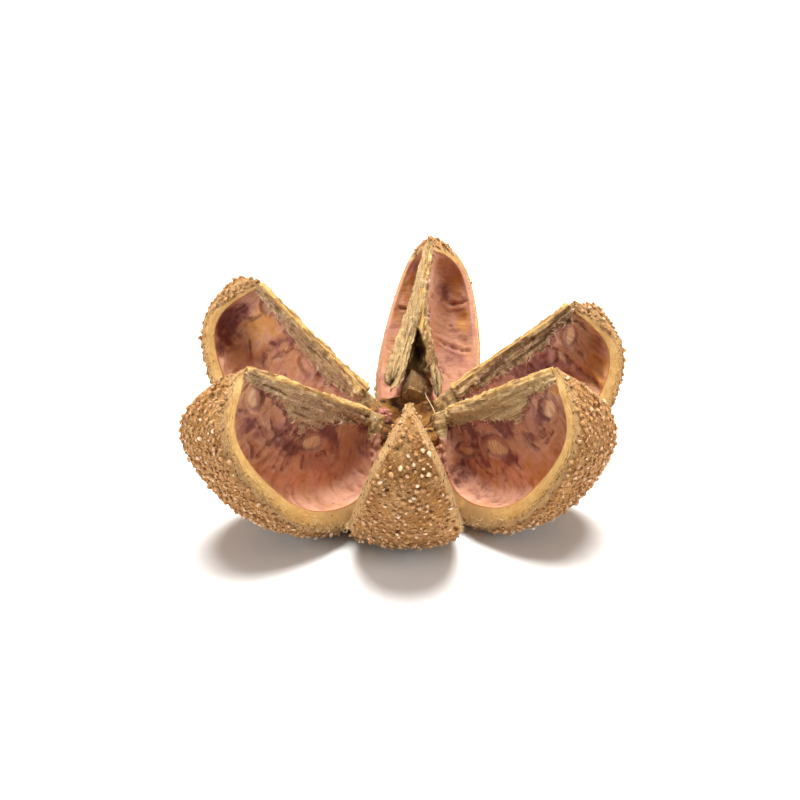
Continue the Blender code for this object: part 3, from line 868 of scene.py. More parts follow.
# Patches: soft blotches of a size in millimetres, more or fewer as Low and High say.
patches, given, put_out = new_group(
    "patches", Size=3.0, Low=0.35, High=0.65, Offset=(0.0, 0.0, 0.0)
)
place = node(patches, "ShaderNodeTexCoord")
moved = node(patches, "ShaderNodeMapping", {
    "Vector": place.outputs["Object"], "Location": given["Offset"],
})
cloud = node(patches, "ShaderNodeTexNoise", {
    "Vector": moved.outputs[0], "Detail": 3.0,
    "Scale": sums(patches, "DIVIDE", 1000.0, given["Size"]),
})
patches.links.new(ramp(patches, cloud.outputs["Fac"], given["Low"], given["High"]), put_out["Mask"])


def seen(colour):
    """A colour as seen on screen, 0 to 255, as the shader takes it. A socket stays one."""
    if isinstance(colour, bpy.types.NodeSocket):
        return colour
    return (*[(part / 255) ** 2.2 for part in colour], 1.0)


class Finish:
    """A material in the making. Its colour is laid on coat by coat, each coat by its masks."""
    DRY_GLOSS = 0.28

    def __init__(self, name, roughness):
        self.material = bpy.data.materials.new(name)
        self.material.use_nodes = True
        self.tree = self.material.node_tree
        self.shader = self.tree.nodes["Principled BSDF"]
        self.shader.inputs["Roughness"].default_value = roughness
        self.shader.inputs["Specular IOR Level"].default_value = self.DRY_GLOSS

    def read(self, name, output="Fac"):
        return node(self.tree, "ShaderNodeAttribute", attribute_name=name).outputs[output]

    def effect(self, group, **values):
        """One of the groups above, placed in the material with its own values."""
        return node(self.tree, "ShaderNodeGroup", values, node_tree=group).outputs["Mask"]

    def strands(self, flow, length, width, tangle):
        return self.effect(strands, Flow=flow, Length=length, Width=width, Tangle=tangle)

    def flecks(self, flow, length, width, size, share):
        return self.effect(flecks, Flow=flow, Length=length, Width=width, Size=size, Share=share)

    def patches(self, size, low, high, offset=(0, 0, 0)):
        return self.effect(patches, Size=size, Low=low, High=high, Offset=offset)

    def ramp(self, value, low, high):
        return ramp(self.tree, value, low, high)

    def plus(self, first, second):
        return sums(self.tree, "ADD", first, second)

    def minus(self, first, second):
        return sums(self.tree, "SUBTRACT", first, second)

    def times(self, first, *others):
        for other in others:
            first = sums(self.tree, "MULTIPLY", first, other)
        return first

    def mixed(self, below, colour, *masks):
        """A colour laid over another where all the masks say so."""
        values = {0: self.times(*masks), 6: seen(below), 7: seen(colour)}
        return node(self.tree, "ShaderNodeMix", values, data_type="RGBA").outputs[2]

    def start(self, low, high, mask):
        self.colour = self.mixed(low, high, mask)

    def lay(self, colour, *masks):
        self.colour = self.mixed(self.colour, colour, *masks)

    def shade(self, low, high, mask):
        """Multiplies the colour by a grey that goes from low to high with a mask."""
        grey = node(self.tree, "ShaderNodeMapRange", {"Value": mask, "To Min": low, "To Max": high})
        values = {0: 1.0, 6: self.colour, 7: grey.outputs[0]}
        made = node(self.tree, "ShaderNodeMix", values, data_type="RGBA", blend_type="MULTIPLY")
        self.colour = made.outputs[2]

    def done(self, height, strength, distance):
        """Joins the colour and a fine relief, in millimetres at most, to the shader."""
        bump = node(self.tree, "ShaderNodeBump", {
            "Height": height, "Strength": strength, "Distance": distance * MM,
        })
        self.tree.links.new(self.colour, self.shader.inputs["Base Color"])
        self.tree.links.new(bump.outputs["Normal"], self.shader.inputs["Normal"])
        return self.material


def rind_material():
    """Cork: tan-brown between the warts, with painted shade in its pits and hollows, layered and greyer
    to the foot.
    """
    cork = Finish("corky_rind", 0.86)
    flow, relief = cork.read("flow", "Vector"), cork.read("relief")
    edge, layering = cork.read("edge"), cork.read("bar")
    cork.start((176, 122, 68), (204, 156, 102), cork.patches(5.0, 0.35, 0.65))
    cork.lay((190, 132, 62), cork.patches(3.0, 0.52, 0.68, (0.4, 0.3, 0)), 0.6)
    cork.lay((158, 98, 66), cork.patches(3.6, 0.52, 0.68, (0.7, 0.1, 0)), 0.6)
    cork.lay((140, 116, 78), layering, cork.patches(3.5, 0.35, 0.6, (0.2, 0, 0)))
    cork.lay((204, 164, 124), cork.ramp(relief, 0.14, 0.45))
    # Painted shade in the pits and hollows between the bumps.
    cork.lay((118, 78, 42), cork.ramp(relief, -0.10, -0.30))
    cork.lay((62, 38, 20), cork.ramp(relief, -0.22, -0.48))
    grain = cork.effect(crumb, Grain=0.5)
    cork.shade(0.70, 1.22, grain)
    dashes = cork.times(layering, cork.strands(flow, 0.45, 3.0, 0.9))
    cork.shade(1.12, 0.62, dashes)
    # The bevel beside the cut wall is worn smooth, with a few dark dashes.
    bare = cork.mixed((226, 180, 124), (190, 144, 94), cork.strands(flow, 1.6, 0.30, 1.2))
    bare = cork.mixed(bare, (96, 66, 36), cork.flecks(flow, 1.1, 0.45, 0.26, 0.5))
    cork.lay(bare, cork.ramp(cork.plus(edge, cork.times(grain, 0.3)), 1.25, 0.75))
    return cork.done(cork.plus(grain, cork.times(dashes, 0.8)), 1.0, 0.42)


def cut_wall_material():
    """The thick wall where a seam has split: golden, waxy-smooth, fibrous by the rind."""
    wall = Finish("cut_wall", 0.62)
    flow, edge, hairy = wall.read("flow", "Vector"), wall.read("edge"), wall.read("bar")
    thread = node(wall.tree, "ShaderNodeMix", {
        0: wall.ramp(hairy, 0.2, 0.8), 2: wall.strands(flow, 1.6, 0.35, 1.6),
        3: wall.strands(flow, 0.22, 2.2, 1.0),
    }).outputs[0]
    wall.start((206, 158, 92), (222, 180, 114), wall.patches(2.6, 0.3, 0.7))
    wall.shade(0.76, 1.10, thread)
    wall.lay((182, 144, 96), hairy, wall.patches(2.2, 0.3, 0.6, (0.2, 0.2, 0)), 0.8)
    frayed = wall.mixed((156, 114, 66), (206, 162, 104), thread)
    frayed = wall.mixed(frayed, (104, 74, 36), wall.flecks(flow, 0.5, 1.3, 0.34, 0.60))
    wall.lay(frayed, wall.ramp(wall.plus(edge, wall.times(thread, 0.35)), 0.62, 0.22))
    old = wall.mixed((196, 158, 100), (222, 186, 130), thread)
    wall.lay(old, hairy, wall.ramp(thread, 0.7, 0.2))
    wall.lay((128, 92, 46), wall.flecks(flow, 1.9, 1.1, 0.12, 0.35))
    wall.lay((172, 108, 64), wall.ramp(edge, 0.90, 1.0))
    return wall.done(wall.times(thread, wall.plus(0.45, hairy)), 0.8, 0.22)


def lining_material():
    """Dried pulp on thin wood: salmon pink, with maroon and orange stains, pale seed scars,
    painted shade in its creases and wrinkles and under the web's torn edge, and a dusting of pale threads
    towards the axis."""
    pulp = Finish("pink_lining", 0.66)
    flow, relief, edge = pulp.read("flow", "Vector"), pulp.read("relief"), pulp.read("edge")
    pale, crease, stain_and_shade = pulp.read("pale"), pulp.read("crease"), pulp.read("stain_and_shade")
    streak = pulp.strands(flow, 0.9, 2.6, 2.0)
    cloth = pulp.strands(flow, 0.32, 0.7, 1.6)
    blotch = pulp.patches(3.2, 0.36, 0.64)
    mottle = pulp.patches(1.1, 0.30, 0.70, (0.6, 0.2, 0))
    # The outer wall of the hollow, away from the axis, is cleaner and paler.
    outer = pulp.ramp(edge, 9.0, 17.0)
    calm = pulp.minus(1.0, pulp.times(outer, 0.75))
    pulp.start((186, 132, 106), (202, 152, 124), blotch)
    pulp.lay((216, 164, 136), outer)
    pulp.lay((192, 138, 92), pulp.patches(5.0, 0.40, 0.66, (0.31, 0.1, 0)), 0.65)
    pulp.lay((162, 100, 88), streak, calm, 0.24)
    pulp.lay((148, 88, 92), pulp.patches(4.0, 0.52, 0.72, (0.1, 0.5, 0)), 0.5)
    torn = pulp.plus(pulp.minus(mottle, 0.5), pulp.minus(blotch, 0.5))
    ragged = pulp.plus(stain_and_shade, pulp.times(torn, 0.5))
    # Maroon stains, painted shade under the web's torn edge, and the lining darker towards the base.
    dark = pulp.mixed((138, 78, 78), (108, 58, 56), blotch)
    pulp.lay(dark, pulp.ramp(ragged, 0.05, 1.15), 0.9)
    orange = pulp.mixed((196, 134, 72), (210, 154, 94), blotch)
    pulp.lay(orange, pulp.ramp(ragged, -0.05, -1.0), 0.9)
    # Painted shade in the wrinkles' hollows, and towards the hinge.
    pulp.lay((136, 68, 62), pulp.ramp(relief, -0.15, -0.60), 0.25)
    pulp.lay((172, 118, 102), pulp.ramp(pale, 0.05, 0.30))
    scar = pulp.mixed((204, 152, 114), (244, 206, 160), pulp.strands(flow, 0.35, 3.4, 0.6))
    pulp.lay(scar, pulp.ramp(pale, 0.25, 0.8), 0.92)
    # Painted shade in the creases and under the scars' overhanging edges.
    pulp.lay((94, 46, 42), pulp.ramp(crease, 0.15, 0.9), 0.6)
    pulp.shade(0.90, 1.10, pulp.times(pulp.plus(cloth, mottle), 0.5))
    fibre = pulp.ramp(pulp.strands(flow, 0.16, 2.2, 2.2), 0.80, 0.97)
    pulp.lay((232, 190, 160), fibre, calm, 0.3)
    return pulp.done(pulp.times(pulp.plus(pulp.times(streak, 0.7), cloth), calm), 0.5, 0.14)


def bar_material():
    """The axis and its web: straw-coloured bundles of fibre, golden and smooth along the very
    edge, with grey-brown cobwebby remains on the wall below it."""
    straw = Finish("axis_fibre", 0.80)
    axial, relief = straw.read("axial", "Vector"), straw.read("relief")
    inward, greyness = straw.read("edge"), straw.read("bar")
    strand = straw.strands(axial, 4.0, 0.24, 1.0)
    coarse = straw.strands(axial, 6.0, 0.8, 1.8)
    tangle = straw.strands(axial, 0.6, 0.45, 3.0)
    straw.start((224, 174, 108), (255, 224, 164), strand)
    web = straw.mixed((202, 154, 112), (248, 208, 166), tangle)
    grey = straw.times(greyness, straw.plus(0.35, straw.patches(3.0, 0.34, 0.56, (0, 0.4, 0))))
    below_edge = straw.times(grey, straw.ramp(inward, 0.4, 1.3))
    straw.lay(web, sums(straw.tree, "MINIMUM", 1.0, below_edge))
    on_edge = straw.ramp(inward, 0.9, 0.4)
    straw.shade(0.70, 1.10, sums(straw.tree, "MAXIMUM", tangle, on_edge))
    gold = straw.mixed((240, 194, 118), (188, 142, 88), straw.ramp(coarse, 0.55, 0.25))
    straw.lay(gold, straw.ramp(inward, 0.75, 0.15))
    straw.lay((144, 98, 56), straw.ramp(coarse, 0.30, 0.06), 0.6)
    # Painted shade in the grooves between the fibres, low on the split valve's torn wall and in its
    # cleft, and more on bars that BAR_SHADE darkens; darker also at the broken ends by the hinge.
    straw.lay((118, 78, 42), straw.ramp(relief, -0.25, -0.70), 0.8)
    straw.lay((240, 222, 190), straw.ramp(tangle, 0.86, 0.99), 0.7)
    return straw.done(straw.plus(strand, straw.times(tangle, 0.8)), 0.9, 0.28)


def along_axis(grid):
    """How each point lies along and across the axis, for the bar's fibres."""
    return np.dstack([grid[:, :, 2], grid[:, :, 0], grid[:, :, 1] * 2.5])


finishes = [rind_material(), cut_wall_material(), lining_material(), bar_material()]
valves = {}
for seed, (name, opening) in enumerate(VALVES.items(), 1):
    skin = Skin(name, seed)
    skin.grow_rind()
    draw = random.Random(seed)
    for start, sign in ((RIND_POINTS, 1), (skin.size[1] - HALF_POINTS, -1)):
        skin.grow_inside(start, sign, LININGS.get((name, sign)) or made_up_marks(draw))
    skin.grow_crest()
    normals = grid_normals(skin.grid)
    if normals[STATIONS // 2, RIND_STEPS // 2, 0] < 0:
        normals = -normals
    points = carried(opened(*opening), skin.grid + skin.shift + normals * skin.move[:, :, None])
    points[:, :, 2] = np.maximum(points[:, :, 2], 0.0)
    axial = along_axis(skin.grid) / MM
    axial[:, :, 2] += seed * 10
    finish = np.minimum(skin.kinds, np.roll(skin.kinds, -1, axis=1))[:-1].reshape(-1)
    vectors = {"flow": skin.flow, "axial": axial}
    valves[name] = closed_piece("valve_" + name, points, finish, finishes, vectors, skin.stored)


# The warts: hard granules of cork that the rind grew all over, blunt or pointed, with cream
# tips, and finer grit between them. They are part of the rind and stand straight out of it.
WART_KINDS = {
    # kind     spacing  width low  high    height low  high  noise  facets  paleness  first seed
    "warts":  (1.20,    0.24,      0.50,   0.8,        1.9,  0.44,  2,      1.0,      0),
    "grit":   (0.80,    0.12,      0.28,   0.5,        1.8,  0.20,  1,      0.85,     50),
}
WART_TILT = 0.35
FULL_TURN = 6.283


def random_value(tree, low, high, seed):
    made = node(tree, "FunctionNodeRandomValue", {2: low, 3: high, "Seed": seed}, data_type="FLOAT")
    return made.outputs[1]


def node_tree(name, **inputs):
    """A tree of geometry nodes with one input for each name and its usual value."""
    tree = bpy.data.node_groups.new(name, "GeometryNodeTree")
    tree.interface.new_socket("Geometry", in_out="INPUT", socket_type="NodeSocketGeometry")
    kinds = {float: "Float", int: "Int", str: "String"}
    for label, value in inputs.items():
        kind = "NodeSocket" + kinds[type(value)]
        socket = tree.interface.new_socket(label.replace("_", " "), in_out="INPUT", socket_type=kind)
        socket.default_value = value
    tree.interface.new_socket("Material", in_out="INPUT", socket_type="NodeSocketMaterial")
    tree.interface.new_socket("Geometry", in_out="OUTPUT", socket_type="NodeSocketGeometry")
    return tree, tree.nodes.new("NodeGroupInput").outputs, tree.nodes.new("NodeGroupOutput").inputs


def turned_by(tree, way, turn):
    inputs = {"Rotation": way, "Rotate By": turn}
    return node(tree, "FunctionNodeRotateRotation", inputs, rotation_space="LOCAL").outputs[0]


def made_real(tree, given, put_out, placed, shade, fineness, detail, push):
    """Gives each thing its shade, makes them all real, roughens them and sets their material."""
    shaded = node(tree, "GeometryNodeStoreNamedAttribute", {
        "Geometry": placed.outputs[0], "Name": "shade", "Value": shade,
    }, data_type="FLOAT", domain="INSTANCE")
    real = node(tree, "GeometryNodeRealizeInstances", {"Geometry": shaded.outputs[0]})
    cloud = node(tree, "ShaderNodeTexNoise", {
        "Vector": node(tree, "GeometryNodeInputPosition").outputs[0],
        "Scale": fineness, "Detail": detail,
    })
    centred = node(tree, "ShaderNodeVectorMath", {
        0: cloud.outputs["Color"], 1: (0.5, 0.5, 0.5),
    }, operation="SUBTRACT")
    pushed = node(tree, "ShaderNodeVectorMath", {
        0: centred.outputs[0], "Scale": push,
    }, operation="SCALE")
    moved = node(tree, "GeometryNodeSetPosition", {
        "Geometry": real.outputs[0], "Offset": pushed.outputs[0],
    })
    coloured = node(tree, "GeometryNodeSetMaterial", {
        "Geometry": moved.outputs[0], "Material": given["Material"],
    })
    tree.links.new(coloured.outputs[0], put_out[0])


def wart_tree():
    tree, given, put_out = node_tree(
        "wart_scatter", Spacing=0.0015, Width_Low=0.0003, Width_High=0.0006, Height_Low=0.9,
        Height_High=1.5, Roughness=0.0003, Facets=2, Paleness=1.0, Seed=1,
    )
    zone = node(tree, "GeometryNodeInputNamedAttribute", {"Name": "warty"}, data_type="FLOAT")
    scatter = node(tree, "GeometryNodeDistributePointsOnFaces", {
        "Mesh": given["Geometry"], "Distance Min": given["Spacing"], "Density Max": 4e6,
        "Density Factor": zone.outputs["Attribute"], "Seed": given["Seed"],
    }, distribute_method="POISSON")
    lump = node(tree, "GeometryNodeMeshIcoSphere", {
        "Radius": 1.0, "Subdivisions": given["Facets"],
    })
    height = node(tree, "ShaderNodeSeparateXYZ", {
        "Vector": node(tree, "GeometryNodeInputPosition").outputs[0],
    })
    tip = node(tree, "GeometryNodeStoreNamedAttribute", {
        "Geometry": lump.outputs["Mesh"], "Name": "tip", "Value": height.outputs["Z"],
    }, data_type="FLOAT", domain="POINT")
    spin = node(tree, "ShaderNodeCombineXYZ", {
        "X": random_value(tree, -WART_TILT, WART_TILT, 11),
        "Y": random_value(tree, -WART_TILT, WART_TILT, 12),
        "Z": random_value(tree, 0.0, FULL_TURN, 13),
    })
    tilt = node(tree, "FunctionNodeEulerToRotation", {"Euler": spin.outputs[0]})
    width = random_value(tree, given["Width Low"], given["Width High"], 14)
    long = sums(tree, "MULTIPLY", width, random_value(tree, 0.8, 1.45, 15))
    stretch = random_value(tree, given["Height Low"], given["Height High"], 16)
    tall = sums(tree, "MULTIPLY", width, stretch)
    size = node(tree, "ShaderNodeCombineXYZ", {"X": long, "Y": width, "Z": tall})
    placed = node(tree, "GeometryNodeInstanceOnPoints", {
        "Points": scatter.outputs["Points"], "Instance": tip.outputs["Geometry"],
        "Rotation": turned_by(tree, scatter.outputs["Rotation"], tilt.outputs[0]),
        "Scale": size.outputs[0],
    })
    shade = random_value(tree, 0.0, given["Paleness"], 17)
    made_real(tree, given, put_out, placed, shade, 1900.0, 1.0, given["Roughness"])
    return tree


def plain_mesh(thing):
    """The mesh of an object as its modifiers or its curve make it."""
    return bpy.data.meshes.new_from_object(
        thing.evaluated_get(bpy.context.evaluated_depsgraph_get())
    )


def grown(host, tree, name, **values):
    """What a tree of geometry nodes grows on a host piece, as a plain mesh of its own."""
    grower = host.copy()
    scene.collection.objects.link(grower)
    grower.parent = None
    modifier = grower.modifiers.new("grow", "NODES")
    modifier.node_group = tree
    for item in tree.interface.items_tree:
        label = item.name.replace(" ", "_").lower()
        if item.in_out == "INPUT" and label in values:
            modifier[item.identifier] = values[label]
    data = plain_mesh(grower)
    grower.modifiers.remove(modifier)
    bpy.data.objects.remove(grower)
    data.name = name
    # Nothing reaches below the table.
    place = np.empty(len(data.vertices) * 3, np.float32)
    data.vertices.foreach_get("co", place)
    place[2::3] = np.maximum(place[2::3], 0)
    data.vertices.foreach_set("co", place)
    return dressed(bpy.data.objects.new(name, data))


def wart_material():
    """Granules: tan at the foot and cream or pinkish at the tip, some paler than others."""
    wart = Finish("wart_cork", 0.78)
    tip, shade, layering = wart.read("tip"), wart.read("shade"), wart.read("bar")
    pale = wart.mixed((212, 164, 122), (244, 214, 178), wart.ramp(shade, 0.74, 1.0))
    pale = wart.mixed((192, 144, 96), pale, wart.ramp(shade, 0.40, 0.80))
    crumbs = wart.minus(wart.effect(crumb, Grain=0.4), 0.5)
    height = wart.plus(tip, wart.times(crumbs, 0.7))
    wart.start((138, 96, 54), (132, 100, 64), layering)
    wart.lay(pale, wart.ramp(height, 0.10, 0.85))
    return wart.done(wart.effect(crumb, Grain=0.18), 0.6, 0.08)


scatter_warts = wart_tree()
cork = wart_material()
for number, (name, valve) in enumerate(valves.items()):
    for kind, sizes in WART_KINDS.items():
        spacing, narrow, wide, low, high, roughness, facets, pale, first_seed = sizes
        grown(
            valve, scatter_warts, kind + "_" + name, spacing=spacing * MM,
            width_low=narrow * MM, width_high=wide * MM, height_low=low, height_high=high,
            roughness=roughness * MM, facets=facets, paleness=pale, seed=number + first_seed,
            material=cork,
        )


# The loose fibres: torn ends of the axis's fibres and of the cut wall, short and hair-thin,
# which are still rooted in them and fringe the web and the low rims.
FIBRE_KINDS = {
    # kind     zone      per mm2  length low, high  thickness  lean low, high   shades
    "cobweb": ("fringe", 2.6,     0.35,   1.4,      0.045,     1.25,  1.60,     0.0,  1.0),
    "fringe": ("frayed", 4.5,     0.5,    1.2,      0.065,     0.60,  1.45,     0.0,  0.45),
}
# The front valve's web doesn't show, and has no torn edge.
NO_FIBRES = (("cobweb", "front"),)


def fibre_tree():
    tree, given, put_out = node_tree(
        "fibre_scatter", Zone="fringe", Density=4e6, Length_Low=0.0007, Length_High=0.002,
        Thickness=0.04, Lean_Low=1.1, Lean_High=1.6, Shade_Low=0.0, Shade_High=1.0, Seed=1,
    )
    zone = node(tree, "GeometryNodeInputNamedAttribute", {"Name": given["Zone"]}, data_type="FLOAT")
    scatter = node(tree, "GeometryNodeDistributePointsOnFaces", {
        "Mesh": given["Geometry"], "Seed": given["Seed"],
        "Density": sums(tree, "MULTIPLY", given["Density"], zone.outputs["Attribute"]),
    })
    spine = node(tree, "GeometryNodeCurveQuadraticBezier", {
        "Resolution": 5, "Start": (0, 0, -0.08), "Middle": (0.45, 0.1, 0.5), "End": (-0.05, -0.1, 1.0),
    })
    ring = node(tree, "GeometryNodeCurvePrimitiveCircle", {
        "Resolution": 4, "Radius": given["Thickness"],
    })
    hair = node(tree, "GeometryNodeCurveToMesh", {
        "Curve": spine.outputs[0], "Profile Curve": ring.outputs["Curve"], "Fill Caps": True,
    })
    turn = node(tree, "FunctionNodeAxisAngleToRotation", {
        "Axis": (0, 0, 1), "Angle": random_value(tree, 0.0, FULL_TURN, 21),
    })
    lean = node(tree, "FunctionNodeAxisAngleToRotation", {
        "Axis": (1, 0, 0), "Angle": random_value(tree, given["Lean Low"], given["Lean High"], 22),
    })
    way = turned_by(tree, scatter.outputs["Rotation"], turn.outputs[0])
    placed = node(tree, "GeometryNodeInstanceOnPoints", {
        "Points": scatter.outputs["Points"], "Instance": hair.outputs[0],
        "Rotation": turned_by(tree, way, lean.outputs[0]),
        "Scale": random_value(tree, given["Length Low"], given["Length High"], 23),
    })
    shade = random_value(tree, given["Shade Low"], given["Shade High"], 24)
    made_real(tree, given, put_out, placed, shade, 900.0, 0.0, 0.9 * MM)
    return tree


def fibre_material():
    """Torn fibres: straw-coloured to nearly white, matt."""
    hair = Finish("torn_fibre", 0.72)
    grain = hair.effect(crumb, Grain=0.2)
    hair.start((186, 146, 92), (240, 220, 186), hair.read("shade"))
    hair.shade(0.8, 1.1, grain)
    return hair.done(grain, 0.4, 0.03)


scatter_fibres = fibre_tree()
torn_fibre = fibre_material()
for number, (name, valve) in enumerate(valves.items()):
    for kind, sizes in FIBRE_KINDS.items():
        if (kind, name) in NO_FIBRES:
            continue
        zone, density, short, long, thickness, low, high, dark, pale = sizes
        grown(
            valve, scatter_fibres, kind + "_" + name, zone=zone, density=density / MM ** 2,
            length_low=short * MM, length_high=long * MM, thickness=thickness, lean_low=low,
            lean_high=high, shade_low=dark, shade_high=pale, seed=number * 7 + len(kind),
            material=torn_fibre,
        )


# The back valve's axis: it tore off with this valve as one thick bundle of straw-coloured
# fibres, leans to one side of the cleft and ends in splinters above the base. On the cleft's
# other side a thin strip of the same fibre hangs from the septum down to the base.
BUNDLES = {
    # x     y     z     half width  half thickness, in mm in the valve's own frame
    "torn_axis": (
        (0.9, 0.0, 36.6, 0.25, 0.30), (0.5, 0.1, 34.0, 0.85, 0.60),
        (0.3, 0.5, 28.0, 1.05, 0.75), (0.3, 1.1, 21.6, 1.35, 0.95),
        (0.0, 1.9, 14.3, 1.70, 1.10), (-0.4, 2.8, 7.6, 1.85, 1.15),
        (-0.8, 3.5, 3.0, 1.70, 1.05), (-0.9, 3.7, 1.6, 1.30, 0.80),
    ),
    "torn_strip": (
        (0.5, -2.1, 12.6, 0.22, 0.22), (0.3, -2.8, 10.6, 0.42, 0.36),
        (0.2, -3.6, 8.4, 0.55, 0.40), (0.4, -4.6, 5.8, 0.70, 0.42),
        (0.8, -5.6, 3.2, 0.80, 0.42), (1.2, -6.4, 1.0, 0.60, 0.38),
    ),
}
BUNDLE_SIDES, BUNDLE_ROWS = 72, 150
ROUNDED_ROWS = 6
SPLINTERS = 3.4
FIRST_BUNDLE_SEED = 77


def softened(line, rounds):
    """A row of points with its corners smoothed away, and its two ends kept."""
    for _ in range(rounds):
        line[1:-1] += (line[:-2] + line[2:] - 2 * line[1:-1]) * 0.25
    return line


def fibre_bundle(name, path, seed):
    """A bundle of fibres along a path, ribbed lengthwise, with a splintered lower end."""
    path = np.array(path)
    place = np.linspace(0, len(path) - 1, BUNDLE_ROWS)
    line = np.stack([np.interp(place, range(len(path)), part) for part in path.T], 1)
    line = softened(line, 60)
    turn = np.linspace(0, 2 * math.pi, BUNDLE_SIDES, endpoint=False)
    row = np.arange(BUNDLE_ROWS)
    from_end = np.minimum(row, BUNDLE_ROWS - 1 - row)
    closing = np.sqrt(np.clip(from_end / ROUNDED_ROWS, 0, 1))
    grid = stacked(
        line[:, None, 0] + np.sin(turn) * (line[:, 4] * closing)[:, None],
        line[:, None, 1] + np.cos(turn) * (line[:, 3] * closing)[:, None], line[:, 2:3],
    )
    # Each fibre in the end breaks at its own length.
    around = np.stack([np.cos(turn), np.sin(turn)], 1)
    ends = np.array([noise.fractal((a * 3.2, b * 3.2, seed), 1.0, 2.0, 3) for a, b in around])
    near_end = smooth(line[-1, 2] + 6.0, line[-1, 2] + 0.5, line[:, 2])[:, None]
    grid[:, :, 2] -= near_end * ends[None, :] * SPLINTERS
    ribs = stacked(around[:, 0] * 4.2, around[:, 1] * 4.2, grid[:, :, 2] * 0.13 + seed)
    rib = fractal(ribs, 1.0, 4, seed)
    rough = fractal(grid, 0.8, 3, seed + 1)
    crumbly = fractal(grid, 1.7, 3, seed + 2) * near_end
    push = 0.60 * rib + 0.34 * rough + 0.55 * crumbly
    push *= (np.minimum(line[:, 4], 1.0) * closing)[:, None]
    grid[:, :, 0] += np.sin(turn) * push
    grid[:, :, 1] += np.cos(turn) * push
    values = {
        "relief": rib + 0.5 * crumbly, "edge": np.full(rib.shape, 0.8),
        "bar": np.full(rib.shape, 0.2),
    }
    points = carried(opened(*VALVES[SPLIT_VALVE]), grid * MM)
    closed_piece(name, points, 0, [finishes[BAR]], {"axial": along_axis(grid)}, values)


for seed, (name, path) in enumerate(BUNDLES.items(), FIRST_BUNDLE_SEED):
    fibre_bundle(name, path, seed)


# What lies in the middle: a dry pinkish lump of pulp, a white speck beside it and one loose
# pale fibre that leans over the hollow. They stayed behind when the seeds fell out.
PULP_PLACE, PULP_RADIUS, PULP_SEED = (-5.4, -0.4, 14.6), 1.5, 5
SPECK_PLACE, SPECK_RADIUS, SPECK_SEED = (-6.9, -7.2, 17.7), 0.25, 9
HAIR = ((3.2, 8.7, 15.5), (3.0, 5.0, 16.6), (4.5, -0.5, 16.2), (5.2, -6.0, 16.6))
HAIR_RADIUS, HAIR_SHADE = 0.07 * MM, 0.45


def pebble(name, place, radius, seed, material):
    """A small uneven lump."""
    ball = bmesh.new()
    bmesh.ops.create_icosphere(ball, subdivisions=4, radius=1.0)
    for vert in ball.verts:
        bump = noise.fractal(vert.co * 1.4 + Vector((seed, 0, 0)), 1.0, 2.0, 4)
        vert.co = (vert.co * (1 + 0.35 * bump) * radius + Vector(place)) * MM
    data = bpy.data.meshes.new(name)
    ball.to_mesh(data)
    ball.free()
    data.materials.append(material)
    dressed(bpy.data.objects.new(name, data))


def crumbly_material(name, low, high):
    lump = Finish(name, 0.7)
    grain = lump.effect(crumb, Grain=0.5)
    lump.start(low, high, lump.patches(1.2, 0.35, 0.65))
    lump.shade(0.7, 1.15, grain)
    return lump.done(grain, 0.8, 0.15)


dry_pulp = crumbly_material("dry_pulp", (146, 88, 74), (186, 126, 106))
chalk = crumbly_material("chalky_speck", (232, 226, 216), (250, 246, 240))
pebble("pulp_lump", PULP_PLACE, PULP_RADIUS, PULP_SEED, dry_pulp)
pebble("speck", SPECK_PLACE, SPECK_RADIUS, SPECK_SEED, chalk)

hair_curve = bpy.data.curves.new("loose_fibre", "CURVE")
hair_curve.dimensions = "3D"
hair_curve.bevel_depth = HAIR_RADIUS
hair_curve.bevel_resolution = 1
hair_curve.use_fill_caps = True
hair_line = hair_curve.splines.new("BEZIER")
hair_line.bezier_points.add(len(HAIR) - 1)
for point, place in zip(hair_line.bezier_points, HAIR):
    point.co = Vector(place) * MM
    point.handle_left_type = point.handle_right_type = "AUTO"
hair_object = bpy.data.objects.new("loose_fibre_line", hair_curve)
scene.collection.objects.link(hair_object)
bpy.context.view_layer.update()
hair_data = plain_mesh(hair_object)
bpy.data.objects.remove(hair_object)
hair_data.materials.clear()
hair_data.materials.append(torn_fibre)
shade = hair_data.attributes.new("shade", "FLOAT", "POINT")
shade.data.foreach_set("value", [HAIR_SHADE] * len(hair_data.vertices))
dressed(bpy.data.objects.new("loose_fibre", hair_data))


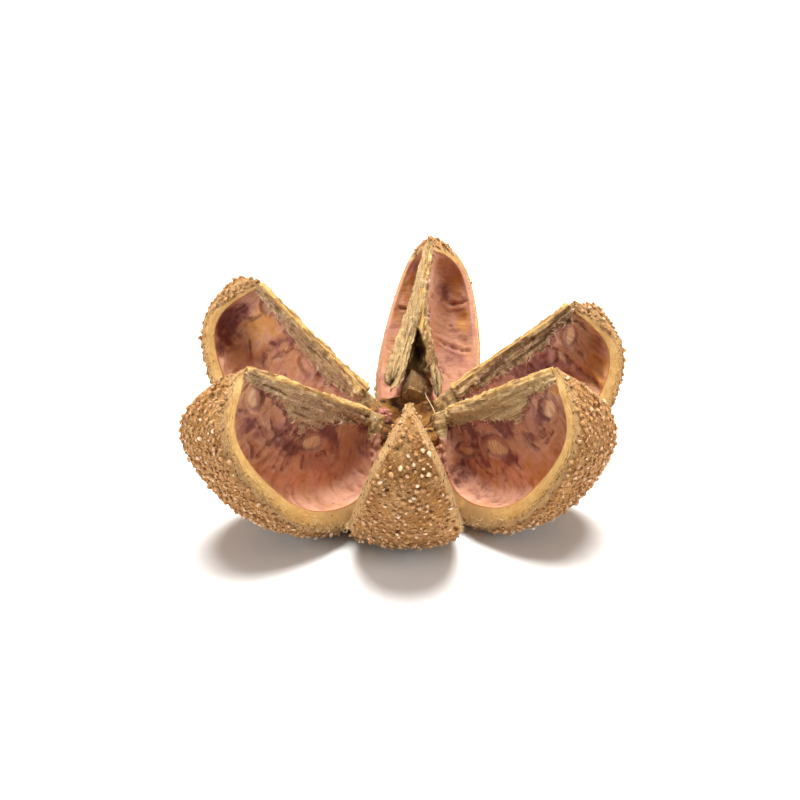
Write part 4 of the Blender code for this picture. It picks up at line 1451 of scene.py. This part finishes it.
# The base: the woody cushion that the six valves' feet grow from, hollowed in its middle where
# the capsule's axis broke away, with the round scar of the stalk underneath.
BASE_OUTLINE = (
    (0.0000, -0.0046), (0.0024, -0.0042), (0.0048, -0.0026), (0.0066, -0.0011), (0.0080, -0.0012),
    (0.0092, -0.0022), (0.0094, -0.0036), (0.0082, -0.0052), (0.0060, -0.0062),
    (0.0034, -0.0068), (0.0030, -0.0092), (0.0025, -0.0096), (0.0000, -0.0092),
)
BASE_SIDES, BASE_ROWS = 120, 110
FIBRES_DEEP, LUMPS_DEEP = 0.30, 0.40


def base_material():
    """Ochre wood, darker in the hollow, with torn fibres and painted shade in the grooves between them.
    """
    wood = Finish("base_wood", 0.82)
    strand = wood.strands(wood.read("flow", "Vector"), 3.0, 0.5, 1.2)
    wood.start((160, 106, 50), (196, 142, 74), strand)
    wood.lay((118, 74, 34), wood.patches(4.0, 0.40, 0.65))
    # Painted shade in the grooves between the fibres.
    wood.lay((72, 46, 22), wood.ramp(wood.read("relief"), -0.05, -0.45))
    return wood.done(wood.plus(strand, wood.effect(crumb, Grain=0.3)), 0.9, 0.25)


outline = np.array(BASE_OUTLINE)
step = np.concatenate([[0], np.cumsum(np.linalg.norm(np.diff(outline, axis=0), axis=1))])
run = np.linspace(0, step[-1], BASE_ROWS)
profile = softened(np.stack([np.interp(run, step, part) for part in outline.T], 1), 14)
turn = np.linspace(0, 2 * math.pi, BASE_SIDES, endpoint=False)
grid = stacked(profile[:, None, 0] * np.cos(turn), profile[:, None, 0] * np.sin(turn), profile[:, 1:])
normals = grid_normals(grid)
if normals[BASE_ROWS // 3, 0, 0] < 0:
    normals = -normals
flat = grid / MM
pole = smooth(0.0, 2.0, profile[:, 0] / MM)[:, None]
fibres = fractal(flat * (1, 1, 2.2), 0.55, 4, 41)
lumps = fractal(flat, 0.28, 2, 42)
grid = grid + normals * (pole * (FIBRES_DEEP * fibres + LUMPS_DEEP * lumps) * MM)[:, :, None]
flow = stacked(run[:, None] / MM, turn * 6, 9.0)
closed_piece(
    "base", grid + np.array(FROM_BASE), 0, [base_material()], {"flow": flow}, {"relief": fibres}
)
